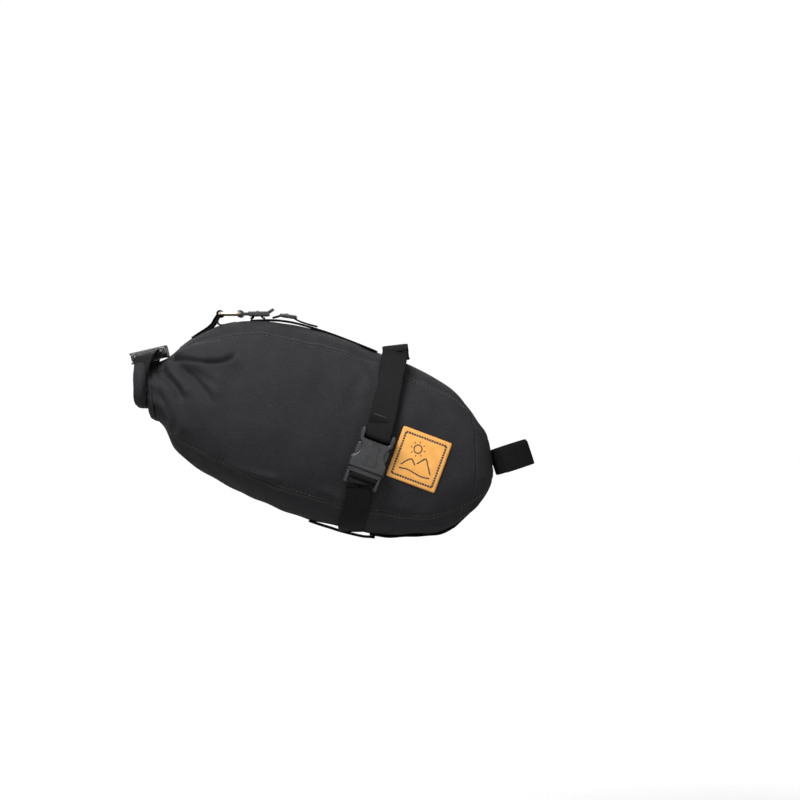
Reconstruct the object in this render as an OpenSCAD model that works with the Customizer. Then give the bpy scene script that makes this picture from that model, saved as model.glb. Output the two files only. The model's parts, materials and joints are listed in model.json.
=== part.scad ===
// Saddle bag with a roll-top mouth. It hangs from two saddle rails and is strapped to a seatpost.
// +X points forward, +Y to the rider's left and +Z up.
// The origin is the centre of the seatpost strap, on the seatpost's axis.

/* [Body] */
// Greatest width of the bag, across both side panels
body_width = 124; // [112:1:130]
// Squareness of the bag's cross-section: 2 is an ellipse
section_power = 2.3; // [2.1:0.1:2.6]
// Thickness of the outer fabric with its backing
fabric_t = 1.2; // [0.8:0.1:1.4]
// Thickness of the plastic stiffeners inside the base and the nose
stiffener_t = 1.4; // [1:0.1:1.6]
// Thickness of the inner lining
liner_t = 0.6; // [0.4:0.1:0.8]
// Width of the binding tape along the seams
binding_w = 3; // [2:0.5:4]

/* [Webbing] */
// Width of all the webbing
webbing_w = 20; // [18:0.5:20]
// Thickness of the webbing
webbing_t = 1.6; // [1.2:0.1:1.8]

/* [Mounting] */
// Diameter of the seatpost that the front strap holds
post_d = 30.9; // [27.2:0.1:31.6]
// Lean of the seatpost, in degrees back from upright
post_lean = 18; // [17:0.5:19]
// Width of the seatpost strap, along the post
post_strap_w = 20; // [16:1:20]
// Thickness of the seatpost strap
post_strap_t = 2.6; // [2:0.1:2.6]
// Diameter of the saddle rails
rail_d = 7; // [6.8:0.1:7.2]
// Distance between the two rails, centre to centre
rail_spacing = 44; // [42:1:46]
// Slope of the rails at the loops, in degrees up towards the front
rail_slope = 6.5; // [5:0.5:8]

/* [Label] */
// Side of the square label patch
label_side = 40; // [30:1:42]
// Thickness of the label patch
label_t = 1.2; // [0.8:0.1:1.6]
// Turn of the label patch from level, in degrees
label_turn = 20.5; // [10:0.5:30]

/* [Roll top] */
// Thickness of the rolled mouth, front to back
roll_depth = 10; // [9:0.5:10]
// Height of the roll's section where it crosses the mouth
roll_height = 13; // [10:0.5:13]
// Tilt of the roll's buckle, in degrees down towards the rear
roll_buckle_tilt = 13; // [8:1:16]

/* [Hidden] */
$fn = 48;

// Colours
FABRIC = [0.24, 0.24, 0.25];
LINING = [0.45, 0.46, 0.48];
WEBBING = [0.13, 0.12, 0.13];
PLASTIC = [0.17, 0.18, 0.19];
STIFF = [0.75, 0.75, 0.72];
LABEL = [0.88, 0.65, 0.3];
METAL = [0.78, 0.68, 0.5];

// The bag's side outline and plan, from the tail to the nose: [x, low edge, top edge, half width]
PROFILE = [
    [-278, 29, 72, 47], [-271, 22, 73, 47.5], [-264, 8, 77, 49], [-252, -2, 89, 52],
    [-238, -11, 98, 56.5], [-220, -22, 104, 60.5], [-195, -34, 106, 62], [-165, -45.5, 102, 59.5],
    [-135, -54, 94, 55], [-105, -59.5, 82, 50], [-80, -62, 72, 45.5], [-60, -58.5, 62, 41],
    [-46, -52, 53.5, 36.5], [-35, -43.5, 41, 30.5], [-29, -36, 28, 25.5], [-25, -27, 15, 19.5],
    [-22.5, -17, 4, 12], [-21.5, -9, -3, 4],
];
WIDEST = 62;

// Where the panels meet round the section, as angles from the bag's left side
TOP_SEAM = 58;
LOW_SEAM = -48;
// Where the nose panel starts, and where the panels end at the mouth
NOSE_X = -35;
MOUTH_X = -276.5;
// How far the mouth leans: its lower lip is further forward
MOUTH_LEAN = 0.1;
LEAN_START = -245;

// Layers, as distances in from the outside of the fabric
stiff_in = fabric_t + 0.2;
liner_in = stiff_in + stiffener_t + 0.2;

// Seatpost strap
post_r = post_d / 2;
band_r = post_r + post_strap_t;

// Rail loops: the middle of the right and left loops
rail_r = rail_d / 2;
rail_x = -90;
rail_z = 82;

// Side-release buckles. Their own axes: z along the webbing, y through the thickness.
BUCKLE_T = 9;
PLATE_T = 1.3;
COLLAR_R = 12.9;
BUCKLE_HALF = 13.9;
BAR_R = 1.6;
LOOP_GAP = 0.1;
FEMALE_BAR_Z = 12;
MALE_BAR_Z = -27;
MALE_TOP_BAR_Z = -21.6;
FLANGE_Z = -15.9;
PRONG_X = 8.6;
PRONG_Z = -14.2;
PRONG_ROOT_R = 1.3;
PRONG_GAP = 0.05;
PRONG_T = 5.8;
// Place and turns of the left side's female half
SIDE_BUCKLE = [-107.8, 56.6, 5.5];
SIDE_TURN = [-4, 20, -9.5];
// Place of the roll's female half
ROLL_BUCKLE = [-281.5, 6.5, 79.6];

// Hardware on top of the bag: the ring's two bars and the ladder lock's middle
RING_Z = 111.6;
RING_REAR_X = -226.6;
RING_FRONT_X = -211;
RING_WIRE_R = 1.3;
RING_HALF_Y = 13.5;
EYE_R = 2.9;

// Smooth curves through a table, by its first column
function last(v) = len(v) - 1;
function span_at(t, x, i = 0) = i >= last(t) - 1 || x <= t[i + 1][0] ? i : span_at(t, x, i + 1);
function knot_slope(t, i, k) =
    let (a = max(i - 1, 0), b = min(i + 1, last(t)))
    (t[b][k] - t[a][k]) / (t[b][0] - t[a][0]);
function smooth(t, x, k) =
    let (i = span_at(t, x), h = t[i + 1][0] - t[i][0], s = (x - t[i][0]) / h,
         m0 = knot_slope(t, i, k) * h, m1 = knot_slope(t, i + 1, k) * h)
    (2 * s * s * s - 3 * s * s + 1) * t[i][k] + (s * s * s - 2 * s * s + s) * m0
    + (3 * s * s - 2 * s * s * s) * t[i + 1][k] + (s * s * s - s * s) * m1;

function unit(v) = v / norm(v);

// The bag's outside
function low_z(x) = smooth(PROFILE, x, 1);
function top_z(x) = smooth(PROFILE, x, 2);
function half_w(x) = smooth(PROFILE, x, 3) * body_width / (2 * WIDEST);
function mid_z(x) = (low_z(x) + top_z(x)) / 2;
function half_h(x) = (top_z(x) - low_z(x)) / 2;
function lean(x) = x < LEAN_START ? MOUTH_LEAN * (LEAN_START - x) / (LEAN_START - MOUTH_X) : 0;
function signed_pow(v, e) = sign(v) * pow(abs(v), e);
// A point of the section at x, at an angle from the left side, in from the outside by inset
function skin(x, angle, inset = 0) =
    let (e = 2 / section_power, y = signed_pow(cos(angle), e), z = signed_pow(sin(angle), e),
         up = (half_h(x) - inset) * z)
    [x - lean(x) * up, (half_w(x) - inset) * y, mid_z(x) + up];
// The section's angle at a height
function angle_at(x, z) = asin(signed_pow((z - mid_z(x)) / half_h(x), section_power / 2));
// The section's angle on the top at a distance y to the left
function angle_over(x, y) = acos(signed_pow(y / half_w(x), section_power / 2));
// The direction straight out of the fabric, and a point that far out from it
function out_of(x, a) =
    unit(cross(skin(x, a + 1) - skin(x, a - 1), skin(x + 0.5, a) - skin(x - 0.5, a)));
function above(x, a, off) = skin(x, a) + off * out_of(x, a);
// The same for a point on the left side at x and z
function side_out(x, z) = out_of(x, angle_at(x, z));
function side_point(x, z, off = 0) = above(x, angle_at(x, z), off);

// Even steps, and steps that are close together at the end
function steps(a, b, n) = [for (i = [0:n]) a + (b - a) * i / n];
function ease_out(a, b, n) = [for (i = [0:n]) a + (b - a) * sin(90 * i / n)];
BODY_X = concat(steps(MOUTH_X, -240, 6), steps(-230, -60, 11), [-52, -44, -39, NOSE_X]);
NOSE_STEPS = ease_out(NOSE_X, -21.6, 5);
function between(a, b) = [for (x = BODY_X) if (x > a && x < b) x];
// The panels' angles round the section. Every layer shares them, so the layers nest.
SIDE_ANGLES = steps(LOW_SEAM, TOP_SEAM, 9);
TOP_ANGLES = steps(TOP_SEAM, 180 - TOP_SEAM, 6);
LOW_ANGLES = steps(-180 - LOW_SEAM, LOW_SEAM, 8);
function trimmed(v) = [for (i = [1:len(v) - 2]) v[i]];
RING_ANGLES = concat(SIDE_ANGLES, trimmed(TOP_ANGLES), [for (i = [9:-1:0]) 180 - SIDE_ANGLES[i]],
    [for (a = trimmed(LOW_ANGLES)) a + 360]);

// Vector helpers
function tangent(p, i) = unit(p[min(i + 1, last(p))] - p[max(i - 1, 0)]);

// A point turned about x, then y, then z
function turned(v, t) =
    let (a = [v[0], v[1] * cos(t[0]) - v[2] * sin(t[0]), v[1] * sin(t[0]) + v[2] * cos(t[0])],
         b = [a[0] * cos(t[1]) + a[2] * sin(t[1]), a[1], a[2] * cos(t[1]) - a[0] * sin(t[1])])
    [b[0] * cos(t[2]) - b[1] * sin(t[2]), b[0] * sin(t[2]) + b[1] * cos(t[2]), b[2]];

// A closed solid through rings of points, with flat ends
module loft(rings) {
    m = len(rings[0]);
    n = last(rings);
    sides = [for (i = [0:n - 1], j = [0:m - 1])
        let (a = i * m + j, b = i * m + (j + 1) % m) each [[a, b, b + m], [a, b + m, a + m]]];
    caps = [for (j = [1:m - 2]) each [[0, j + 1, j], [n * m, n * m + j, n * m + j + 1]]];
    polyhedron([for (r = rings) each r], concat(sides, caps), convexity = 6);
}

// A sheet with thickness: two grids of points joined round their edges
module sheet(outer, inner) {
    n = last(outer);
    m = len(outer[0]);
    under = (n + 1) * m;
    skins = [for (i = [0:n - 1], j = [0:m - 2])
        let (a = i * m + j, b = a + 1, c = a + m, d = c + 1, u = under)
        each [[a, b, d], [a, d, c], [u + a, u + d, u + b], [u + a, u + c, u + d]]];
    rim = concat([for (j = [0:m - 2]) j], [for (i = [0:n - 1]) i * m + m - 1],
        [for (j = [0:m - 2]) n * m + m - 1 - j], [for (i = [0:n - 1]) (n - i) * m]);
    edges = [for (k = [0:last(rim)])
        let (a = rim[k], b = rim[(k + 1) % len(rim)]) each [[a, under + a, under + b], [a, under + b, b]]];
    polyhedron(concat([for (r = outer) each r], [for (r = inner) each r]), concat(skins, edges),
        convexity = 8);
}

// A tube with thickness: two grids of closed rings joined at both ends
module sleeve(outer, inner) {
    n = last(outer);
    m = len(outer[0]);
    under = (n + 1) * m;
    skins = [for (i = [0:n - 1], j = [0:m - 1])
        let (a = i * m + j, b = i * m + (j + 1) % m, c = a + m, d = b + m, u = under)
        each [[a, b, d], [a, d, c], [u + a, u + d, u + b], [u + a, u + c, u + d]]];
    ends = [for (i = [0, n], j = [0:m - 1])
        let (a = i * m + j, b = i * m + (j + 1) % m, u = under)
        each i == 0 ? [[a, u + a, u + b], [a, u + b, b]] : [[a, u + b, u + a], [a, b, u + b]]];
    polyhedron(concat([for (r = outer) each r], [for (r = inner) each r]), concat(skins, ends),
        convexity = 8);
}

// A cup with thickness, open at its first ring: two grids of closed rings
module cup(outer, inner) {
    n = last(outer);
    m = len(outer[0]);
    under = (n + 1) * m;
    skins = [for (i = [0:n - 1], j = [0:m - 1])
        let (a = i * m + j, b = i * m + (j + 1) % m, c = a + m, d = b + m, u = under)
        each [[a, b, d], [a, d, c], [u + a, u + d, u + b], [u + a, u + c, u + d]]];
    rim = [for (j = [0:m - 1]) let (b = (j + 1) % m, u = under) each [[j, u + j, u + b], [j, u + b, b]]];
    tips = [for (j = [1:m - 2]) let (o = n * m, u = under + n * m)
        each [[o, o + j, o + j + 1], [u, u + j + 1, u + j]]];
    polyhedron(concat([for (r = outer) each r], [for (r = inner) each r]), concat(skins, rim, tips),
        convexity = 8);
}

// Part of the bag's skin, between two depths in from the outside
function skin_grid(xs, angles, inset) = [for (x = xs) [for (a = angles) skin(x, a, inset)]];
module skin_sheet(xs, angles, from, to) {
    sheet(skin_grid(xs, angles, from), skin_grid(xs, angles, to));
}

// Webbing along a path; out is the direction of its outer face at each point
module webbing(path, out, width = webbing_w, thickness = webbing_t) {
    loft([for (i = [0:last(path)])
        let (n = unit(out[i]), w = unit(cross(tangent(path, i), n)) * width / 2, t = n * thickness)
        [path[i] - w, path[i] + w, path[i] + w + t, path[i] - w + t]]);
}

// Part of a ring round z, made of true cylinders
module arc_band(r0, r1, width, from, to) {
    rotate([0, 0, from])
        rotate_extrude(angle = to - from) translate([r0, -width / 2]) square([r1 - r0, width]);
}

// A flat plate in x and z, with its thickness along y
module plate(points, thickness) {
    rotate([90, 0, 0]) linear_extrude(height = thickness, center = true) polygon(points);
}

// A round bar along x
module bar_x(r, length) {
    rotate([0, 90, 0]) cylinder(r = r, h = length, center = true);
}

module on_right() {
    mirror([0, 1, 0]) children();
}

// Both halves of an outline that is the same each side of x = 0
function both_sides(half) = concat(half, [for (i = [last(half):-1:0]) [-half[i][0], half[i][1]]]);

/* Shell of the bag */

module side_panel() {
    color(FABRIC) skin_sheet(BODY_X, SIDE_ANGLES, 0, fabric_t);
}
module side_panel_left() { side_panel(); }
module side_panel_right() { on_right() side_panel(); }

module top_panel() {
    color(FABRIC) skin_sheet(BODY_X, TOP_ANGLES, 0, fabric_t);
}

module bottom_panel() {
    color(FABRIC) skin_sheet(BODY_X, LOW_ANGLES, 0, fabric_t);
}

// The rounded front end, closed round the section
module nose_panel() {
    tip = last(NOSE_STEPS);
    back = [for (i = [0:tip]) [for (a = RING_ANGLES)
        skin(NOSE_STEPS[i], a, fabric_t) - [fabric_t * i / tip, 0, 0]]];
    color(FABRIC) cup(skin_grid(NOSE_STEPS, RING_ANGLES, 0), back);
}

// The hem sewn round the mouth
module mouth_hem() {
    xs = between(MOUTH_X - 1, MOUTH_X + 8);
    color(FABRIC)
        sleeve(skin_grid(xs, RING_ANGLES, fabric_t + 0.25), skin_grid(xs, RING_ANGLES, fabric_t + 1.3));
}

module inner_liner() {
    xs = between(MOUTH_X + 8, -40);
    color(LINING)
        sleeve(skin_grid(xs, RING_ANGLES, liner_in), skin_grid(xs, RING_ANGLES, liner_in + liner_t));
}

// The plastic sheet that keeps the bag's underside flat
module base_stiffener() {
    color(STIFF)
        skin_sheet(between(-216, -58), trimmed(LOW_ANGLES), stiff_in, stiff_in + stiffener_t);
}

// The plastic sheet that lines the nose, just behind its panel
module nose_stiffener() {
    angles = [for (a = trimmed(RING_ANGLES)) if (a < 220) a];
    color(STIFF) skin_sheet(between(-53, -38), angles, stiff_in, stiff_in + stiffener_t);
}

// Binding tape along one seam, on the outside
module seam_binding(angle) {
    xs = between(-268, NOSE_X);
    color(FABRIC)
        webbing([for (x = xs) above(x, angle, 0.2)], [for (x = xs) out_of(x, angle)], binding_w, 0.7);
}
module top_binding_left() { seam_binding(TOP_SEAM); }
module top_binding_right() { on_right() seam_binding(TOP_SEAM); }
module bottom_binding_left() { seam_binding(LOW_SEAM); }
module bottom_binding_right() { on_right() seam_binding(LOW_SEAM); }

// The square patch on the right side panel, following its curve
LABEL_MID = [-72, -1];
module label_patch() {
    half = label_side / 2;
    grid = [for (u = steps(-half, half, 5)) [for (v = steps(-half, half, 5))
        LABEL_MID + [u * cos(label_turn) + v * sin(label_turn), v * cos(label_turn) - u * sin(label_turn)]]];
    color(LABEL) on_right()
        sheet([for (r = grid) [for (q = r) side_point(q[0], q[1], 0.2 + label_t)]],
              [for (r = grid) [for (q = r) side_point(q[0], q[1], 0.2)]]);
}

/* Spine and seatpost strap */

// The webbing under the bag: along the fabric, then up behind the seatpost strap
SPINE_FRONT = [[-30, -39.2], [-24, -32.6], [-19, -24.6], [-16.6, -17], [-18.6, -8], [-21, -0.8]];
module bottom_spine() {
    on_fabric = [for (x = steps(-110, -38, 8)) [x, 0, low_z(x) - 0.5]];
    path = concat(on_fabric, [for (q = SPINE_FRONT) [q[0], 0, q[1]]]);
    color(WEBBING) webbing(path, [for (i = [0:last(path)]) cross(tangent(path, i), [0, -1, 0])]);
}

// The stretch of spine that stands off the fabric, for the strap that goes under the bag
SPINE_LOOP = [[-152.6, -50.1], [-146, -54], [-138, -57.8], [-128, -60.6], [-118, -61.4], [-110.8, -59.6]];
module spine_loop() {
    path = [for (q = SPINE_LOOP) [q[0], 0, q[1]]];
    color(WEBBING) webbing(path, [for (i = [0:last(path)]) cross(tangent(path, i), [0, -1, 0])]);
}

// The half of the seatpost strap that stays on the bag
module seatpost_strap() {
    color(WEBBING) rotate([0, -post_lean, 0]) arc_band(post_r, band_r, post_strap_w, 96, 264);
}

// The half that peels open
module seatpost_flap() {
    color(WEBBING) rotate([0, -post_lean, 0]) arc_band(post_r, band_r, post_strap_w, -86, 84);
}

/* Strap along the top */

// A webbing loop with its tail, which holds the metal ring's rear bar
module top_anchor() {
    loop_side = [RING_REAR_X - (EYE_R + RING_WIRE_R + LOOP_GAP) / 2, 0, RING_Z];
    path = [[-252, 0, 90], [-246, 0, 94.2], [-238, 0, 98.8], [-232, 0, 103.6], [-229.7, 0, 108], loop_side];
    out = [for (i = [0:last(path)]) cross(tangent(path, i), [0, 1, 0])];
    color(WEBBING) union() {
        translate([RING_REAR_X, 0, RING_Z]) rotate([90, 0, 0])
            arc_band(RING_WIRE_R + LOOP_GAP, EYE_R, webbing_w, 0, 360);
        webbing(path, out);
    }
}

// The metal ring: two long bars and two short ones, with round corners
RING_CORNER = 3;
module top_ring() {
    length = RING_FRONT_X - RING_REAR_X;
    long_bar = 2 * (RING_HALF_Y - RING_CORNER);
    color(METAL) translate([RING_REAR_X + length / 2, 0, RING_Z]) for (side = [-1, 1]) {
        translate([side * length / 2, 0, 0]) rotate([90, 0, 0])
            cylinder(r = RING_WIRE_R, h = long_bar, center = true);
        translate([0, side * RING_HALF_Y, 0]) bar_x(RING_WIRE_R, length - 2 * RING_CORNER);
        for (end = [0, 1])
            rotate([0, 0, 180 * (side + 1) / 2]) mirror([0, end, 0])
                translate([length / 2 - RING_CORNER, RING_HALF_Y - RING_CORNER, 0])
                    rotate_extrude(angle = 90) translate([RING_CORNER, 0]) circle(r = RING_WIRE_R);
    }
}

// The adjuster: an eye on the ring's front bar, a frame with cross bars, and a lifted thumb tab
LOCK_X = [-204.5, -188.5];
LOCK_HALF_Y = 12;
LOCK_T = 3.6;
module ladder_lock() {
    z0 = RING_Z - LOCK_T / 2;
    rim = 1.6;
    length = LOCK_X[1] - LOCK_X[0];
    color(PLASTIC) union() {
        difference() {
            union() {
                translate([RING_FRONT_X, 0, RING_Z]) rotate([90, 0, 0])
                    cylinder(r = EYE_R, h = webbing_w, center = true);
                translate([RING_FRONT_X, -8, RING_Z - 1.2]) cube([LOCK_X[0] - RING_FRONT_X + 0.5, 16, 2.4]);
            }
            translate([RING_FRONT_X, 0, RING_Z]) rotate([90, 0, 0])
                cylinder(r = RING_WIRE_R + PRONG_GAP, h = webbing_w + 2, center = true);
        }
        for (y = [-LOCK_HALF_Y, LOCK_HALF_Y - rim])
            translate([LOCK_X[0], y, z0]) cube([length, rim, LOCK_T]);
        for (x = [LOCK_X[0], LOCK_X[0] + 6.6, LOCK_X[1] - 2.8])
            translate([x, -LOCK_HALF_Y, z0]) cube([2.8, 2 * LOCK_HALF_Y, LOCK_T]);
        translate([LOCK_X[1] - 1.6, 0, RING_Z]) rotate([0, -32, 0])
            translate([0, -9, -0.9]) cube([6, 18, 1.8]);
    }
}

// The strap from the ladder lock forward to the top panel
TOP_STRAP = [[-203, 106.9], [-196, 107.3], [-188, 107.5], [-179, 106.9], [-168, 105.2], [-155, 101.6],
             [-140, 96.8], [-122, 90], [-106, 83.4]];
module top_strap() {
    path = [for (q = TOP_STRAP) [q[0], 0, q[1]]];
    color(WEBBING) webbing(path, [for (i = [0:last(path)]) cross(tangent(path, i), [0, 1, 0])]);
}

// The three-bar slider that keeps the strap's tail down
SLIDER_MID = [-173.5, 109.7];
SLIDER_SIZE = [13, 24, 2.6];
SLIDER_TURN = 8;
module top_slider() {
    slot = [3.4, 21, SLIDER_SIZE[2] + 2];
    color(PLASTIC) translate([SLIDER_MID[0], 0, SLIDER_MID[1]]) rotate([0, SLIDER_TURN, 0])
        difference() {
            cube(SLIDER_SIZE, center = true);
            for (x = [-3, 3]) translate([x, 0, 0]) cube(slot, center = true);
        }
}

/* Side-release buckles, in their own axes */

FEMALE_HALF = [[BUCKLE_HALF - 0.6, -15.5], [BUCKLE_HALF, -14.6], [BUCKLE_HALF, -9.6], [13, -7.2],
    [10.6, -4.2], [9.6, -1.5], [9.6, 1.5], [10.6, 4.2], [12.6, 6.6], [13.4, 9], [13.6, 13.4], [12.6, 15.8],
    [11.2, 15.8], [10.6, 14.8], [10.6, 7.8]];
COLLAR_WALL = [[COLLAR_R, -15.5], [BUCKLE_HALF - 0.6, -15.5], [BUCKLE_HALF, -14.6], [BUCKLE_HALF, -9.6],
    [COLLAR_R + 0.2, -8], [COLLAR_R, -9]];
HEAD_HALF = [[10.6, 5], [12.6, 6.8], [13.4, 9], [13.6, 13.4], [12.6, 15.8], [11.2, 15.8], [10.6, 14.8],
    [10.6, 7.8]];

// The half with the socket, its two horns and the bar between them
module buckle_female() {
    plate_y = (BUCKLE_T - PLATE_T) / 2;
    color(PLASTIC) union() {
        for (y = [-plate_y, plate_y]) translate([0, y, 0]) plate(both_sides(FEMALE_HALF), PLATE_T);
        for (side = [-1, 1]) scale([side, 1, 1]) plate(COLLAR_WALL, BUCKLE_T - 0.2);
        plate(both_sides(HEAD_HALF), BUCKLE_T - 1.2);
        translate([0, 0, FEMALE_BAR_Z]) bar_x(BAR_R, 22);
    }
}

// The half with the plug: a flange, a centre guide, side rails and two webbing bars
module buckle_male() {
    flange_t = 2.6;
    seat_z = (FLANGE_Z + PRONG_Z) / 2;
    rail_len = FLANGE_Z - MALE_BAR_Z + BAR_R;
    color(PLASTIC) difference() {
        union() {
            translate([0, 0, FLANGE_Z - flange_t / 2]) cube([27, 8, flange_t], center = true);
            translate([0, 0, seat_z]) cube([22, PRONG_T, PRONG_Z - FLANGE_Z + 0.2], center = true);
            translate([0, 0, -6]) cube([4.4, PRONG_T, 20.4], center = true);
            for (x = [-12.1, 12.1])
                translate([x, 0, FLANGE_Z - rail_len / 2]) cube([2.8, 5.6, rail_len], center = true);
            for (z = [MALE_TOP_BAR_Z, MALE_BAR_Z]) translate([0, 0, z]) bar_x(BAR_R, 24);
        }
        for (x = [-PRONG_X, PRONG_X]) translate([x, 0, PRONG_Z]) rotate([90, 0, 0])
            cylinder(r = PRONG_ROOT_R + PRONG_GAP, h = PRONG_T + 2, center = true);
    }
}

// One springy prong, on the +x side
module buckle_prong() {
    outline = [[7.8, PRONG_Z], [9.4, PRONG_Z], [9.9, -8.4], [12.3, -5.6], [12.7, -4], [12.7, 2],
        [11.6, 4.2], [9, 4.6], [8.3, 0], [8.2, -7]];
    color(PLASTIC) union() {
        plate(outline, PRONG_T);
        translate([PRONG_X, 0, PRONG_Z]) rotate([90, 0, 0])
            cylinder(r = PRONG_ROOT_R, h = PRONG_T, center = true);
    }
}

module side_place() {
    translate(SIDE_BUCKLE) rotate(SIDE_TURN) children();
}
module side_female_left() { side_place() buckle_female(); }
module side_female_right() { on_right() side_place() buckle_female(); }
module side_male_left() { side_place() buckle_male(); }
module side_male_right() { on_right() side_place() buckle_male(); }
module prong_front_left() { side_place() buckle_prong(); }
module prong_rear_left() { side_place() mirror([1, 0, 0]) buckle_prong(); }
module prong_front_right() { on_right() side_place() buckle_prong(); }
module prong_rear_right() { on_right() side_place() mirror([1, 0, 0]) buckle_prong(); }

// A loop of webbing round a buckle's bar, in the buckle's axes
module bar_loop(z) {
    inner = BAR_R + LOOP_GAP;
    translate([0, 0, z]) rotate([0, 90, 0]) arc_band(inner, inner + webbing_t, webbing_w, 0, 360);
}

/* Side straps */

// A point on a side strap where it is level with its buckle's middle, z along the buckle
function on_buckle(z) = SIDE_BUCKLE + turned([0, -webbing_t / 2, z], SIDE_TURN);

// Down the left side, from the rail loop to the female half: [x, z, distance out from the fabric]
UPPER_RUN = [[-93.4, 62, 1], [-95.6, 50, 0.8], [-97.6, 38, 1.4]];
// Where the strap's other end is sewn to the top panel
TAIL_X = -89;
TAIL_Y = [3, 9];
module upper_strap() {
    loop_r = rail_r + webbing_t;
    y0 = rail_spacing / 2;
    rail_end = [[-90.8, y0 + 4.2, 83.4], [-91.6, y0 + 7.4, 76]];
    down = [for (q = UPPER_RUN) side_point(q[0], q[1], q[2])];
    path = concat(rail_end, down, [on_buckle(20), on_buckle(14.6)]);
    out = concat([[0, 1, 0.4], [0, 1, 0.4]], [for (q = UPPER_RUN) side_out(q[0], q[1])],
        [turned([0, 1, 0], SIDE_TURN), turned([0, 1, 0], SIDE_TURN)]);
    sewn = [for (y = TAIL_Y) above(TAIL_X, angle_over(TAIL_X, y), 0.4)];
    sewn_out = [for (y = TAIL_Y) out_of(TAIL_X, angle_over(TAIL_X, y))];
    tail = concat(sewn, [[TAIL_X, y0 - 8, 79], [rail_x, y0 - 4.5, 82.3]]);
    color(WEBBING) union() {
        translate([rail_x, y0, rail_z]) rotate([0, 90 - rail_slope, 0])
            arc_band(rail_r, loop_r, webbing_w, 70, 290);
        webbing(path, out);
        webbing(tail, concat(sewn_out, [[0.1, -0.7, 1], [0, -1, 0.3]]));
        side_place() bar_loop(FEMALE_BAR_Z);
    }
}
module upper_strap_left() { upper_strap(); }
module upper_strap_right() { on_right() upper_strap(); }

// Down from the male half to the bag's lower edge: [x, z, distance out from the fabric]
LOWER_RUN = [[-119.9, -35, 3], [-121.4, -41, 1.5], [-122.8, -47.2, 0.8]];
module lower_strap() {
    outward = turned([0, 1, 0], SIDE_TURN);
    color(WEBBING) union() {
        webbing(
            concat([on_buckle(-29.2), on_buckle(-33)], [for (q = LOWER_RUN) side_point(q[0], q[1], q[2])]),
            concat([outward, outward], [for (q = LOWER_RUN) side_out(q[0], q[1])]));
        side_place() bar_loop(MALE_BAR_Z);
    }
}
module lower_strap_left() { lower_strap(); }
module lower_strap_right() { on_right() lower_strap(); }

// The strap's middle, across the bag's underside and through the spine's loop
module under_strap() {
    x = -124.5;
    edge = angle_at(x, -48.9);
    angles = steps(edge, -180 - edge, 14);
    color(WEBBING) webbing([for (a = angles) above(x, a, 0.5)], [for (a = angles) out_of(x, a)]);
}

/* Roll top: everything behind the mouth */

// Folded fabric that closes the mouth and fills the roll's curve. Each ring is
// [x, share of the mouth's lean, low edge, top edge, half width].
FOLD = [[MOUTH_X - 0.4, 1, 27.6, 71.4, 46], [-280.4, 0, 31, 71, 45], [-280.6, 0, 52.5, 69.5, 36],
    [-284.5, 0, 54.5, 67, 33.5]];
module mouth_fold() {
    angles = steps(0, 345, 23);
    e = 2 / 2.6;
    color(FABRIC) loft([for (f = FOLD) [for (a = angles)
        let (z = (f[2] + f[3]) / 2 + (f[3] - f[2]) / 2 * signed_pow(sin(a), e))
        [f[0] - f[1] * MOUTH_LEAN * (z - mid_z(MOUTH_X)), f[4] * signed_pow(cos(a), e), z]]]);
}

// The rolled hem, bent up at both ends: [y, z] of its middle line
ROLL_LINE = [[-43.5, 70], [-47, 63], [-47.6, 55], [-43, 47.8], [-33, 45], [-17, 44.6], [0, 44.5],
             [17, 44.6], [33, 45], [43, 47.8], [47.6, 55], [47, 63], [43.5, 70]];
ROLL_X = -290.8;
module mouth_roll() {
    path = [for (q = ROLL_LINE) [ROLL_X + roll_depth / 2, q[0], q[1]]];
    angles = steps(0, 330, 11);
    color(FABRIC) loft([for (i = [0:last(path)])
        let (w = cross(tangent(path, i), [1, 0, 0]), d = [1, 0, 0])
        [for (a = angles) path[i] + d * cos(a) * roll_depth / 2 + w * sin(a) * roll_height / 2]]);
}

module roll_place() {
    translate(ROLL_BUCKLE) rotate([0, -roll_buckle_tilt, 0]) rotate([-90, 0, 0]) children();
}
module roll_female() { roll_place() buckle_female(); }
module roll_male() { roll_place() buckle_male(); }
module roll_prong_front() { roll_place() buckle_prong(); }
module roll_prong_rear() { roll_place() mirror([1, 0, 0]) buckle_prong(); }

// Webbing from the end of the roll to a bar of its buckle: bar is where that bar is along y
module roll_tab(bar, side) {
    path = [[-284, side * 43, 71.2], [-283.6, side * 41.4, 75], [-282.6, side * 34, 78.2],
        [-282, bar + side * 2.4, 79]];
    out = [[0, side, 0.2], [0, side, 0.8], [-0.2, side * 0.2, 1], [-0.23, 0, 1]];
    color(WEBBING) webbing(path, out, webbing_w - 1);
}
module roll_tab_left() {
    roll_tab(ROLL_BUCKLE[1] + FEMALE_BAR_Z, 1);
    color(WEBBING) roll_place() bar_loop(FEMALE_BAR_Z);
}
module roll_tab_right() {
    roll_tab(ROLL_BUCKLE[1] + MALE_BAR_Z, -1);
    color(WEBBING) roll_place() bar_loop(MALE_BAR_Z);
}

side_panel_right();
side_panel_left();
top_panel();
bottom_panel();
nose_panel();
mouth_hem();
inner_liner();
base_stiffener();
nose_stiffener();
top_binding_right();
top_binding_left();
bottom_binding_right();
bottom_binding_left();
label_patch();
bottom_spine();
spine_loop();
seatpost_strap();
seatpost_flap();
top_anchor();
top_ring();
ladder_lock();
top_strap();
top_slider();
upper_strap_right();
upper_strap_left();
side_female_right();
side_female_left();
side_male_right();
side_male_left();
prong_front_right();
prong_rear_right();
prong_front_left();
prong_rear_left();
lower_strap_right();
lower_strap_left();
under_strap();
mouth_fold();
mouth_roll();
roll_tab_left();
roll_tab_right();
roll_female();
roll_male();
roll_prong_front();
roll_prong_rear();
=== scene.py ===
"""Saddle bag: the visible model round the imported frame. Working lengths are in millimetres."""
import json
import math

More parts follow.
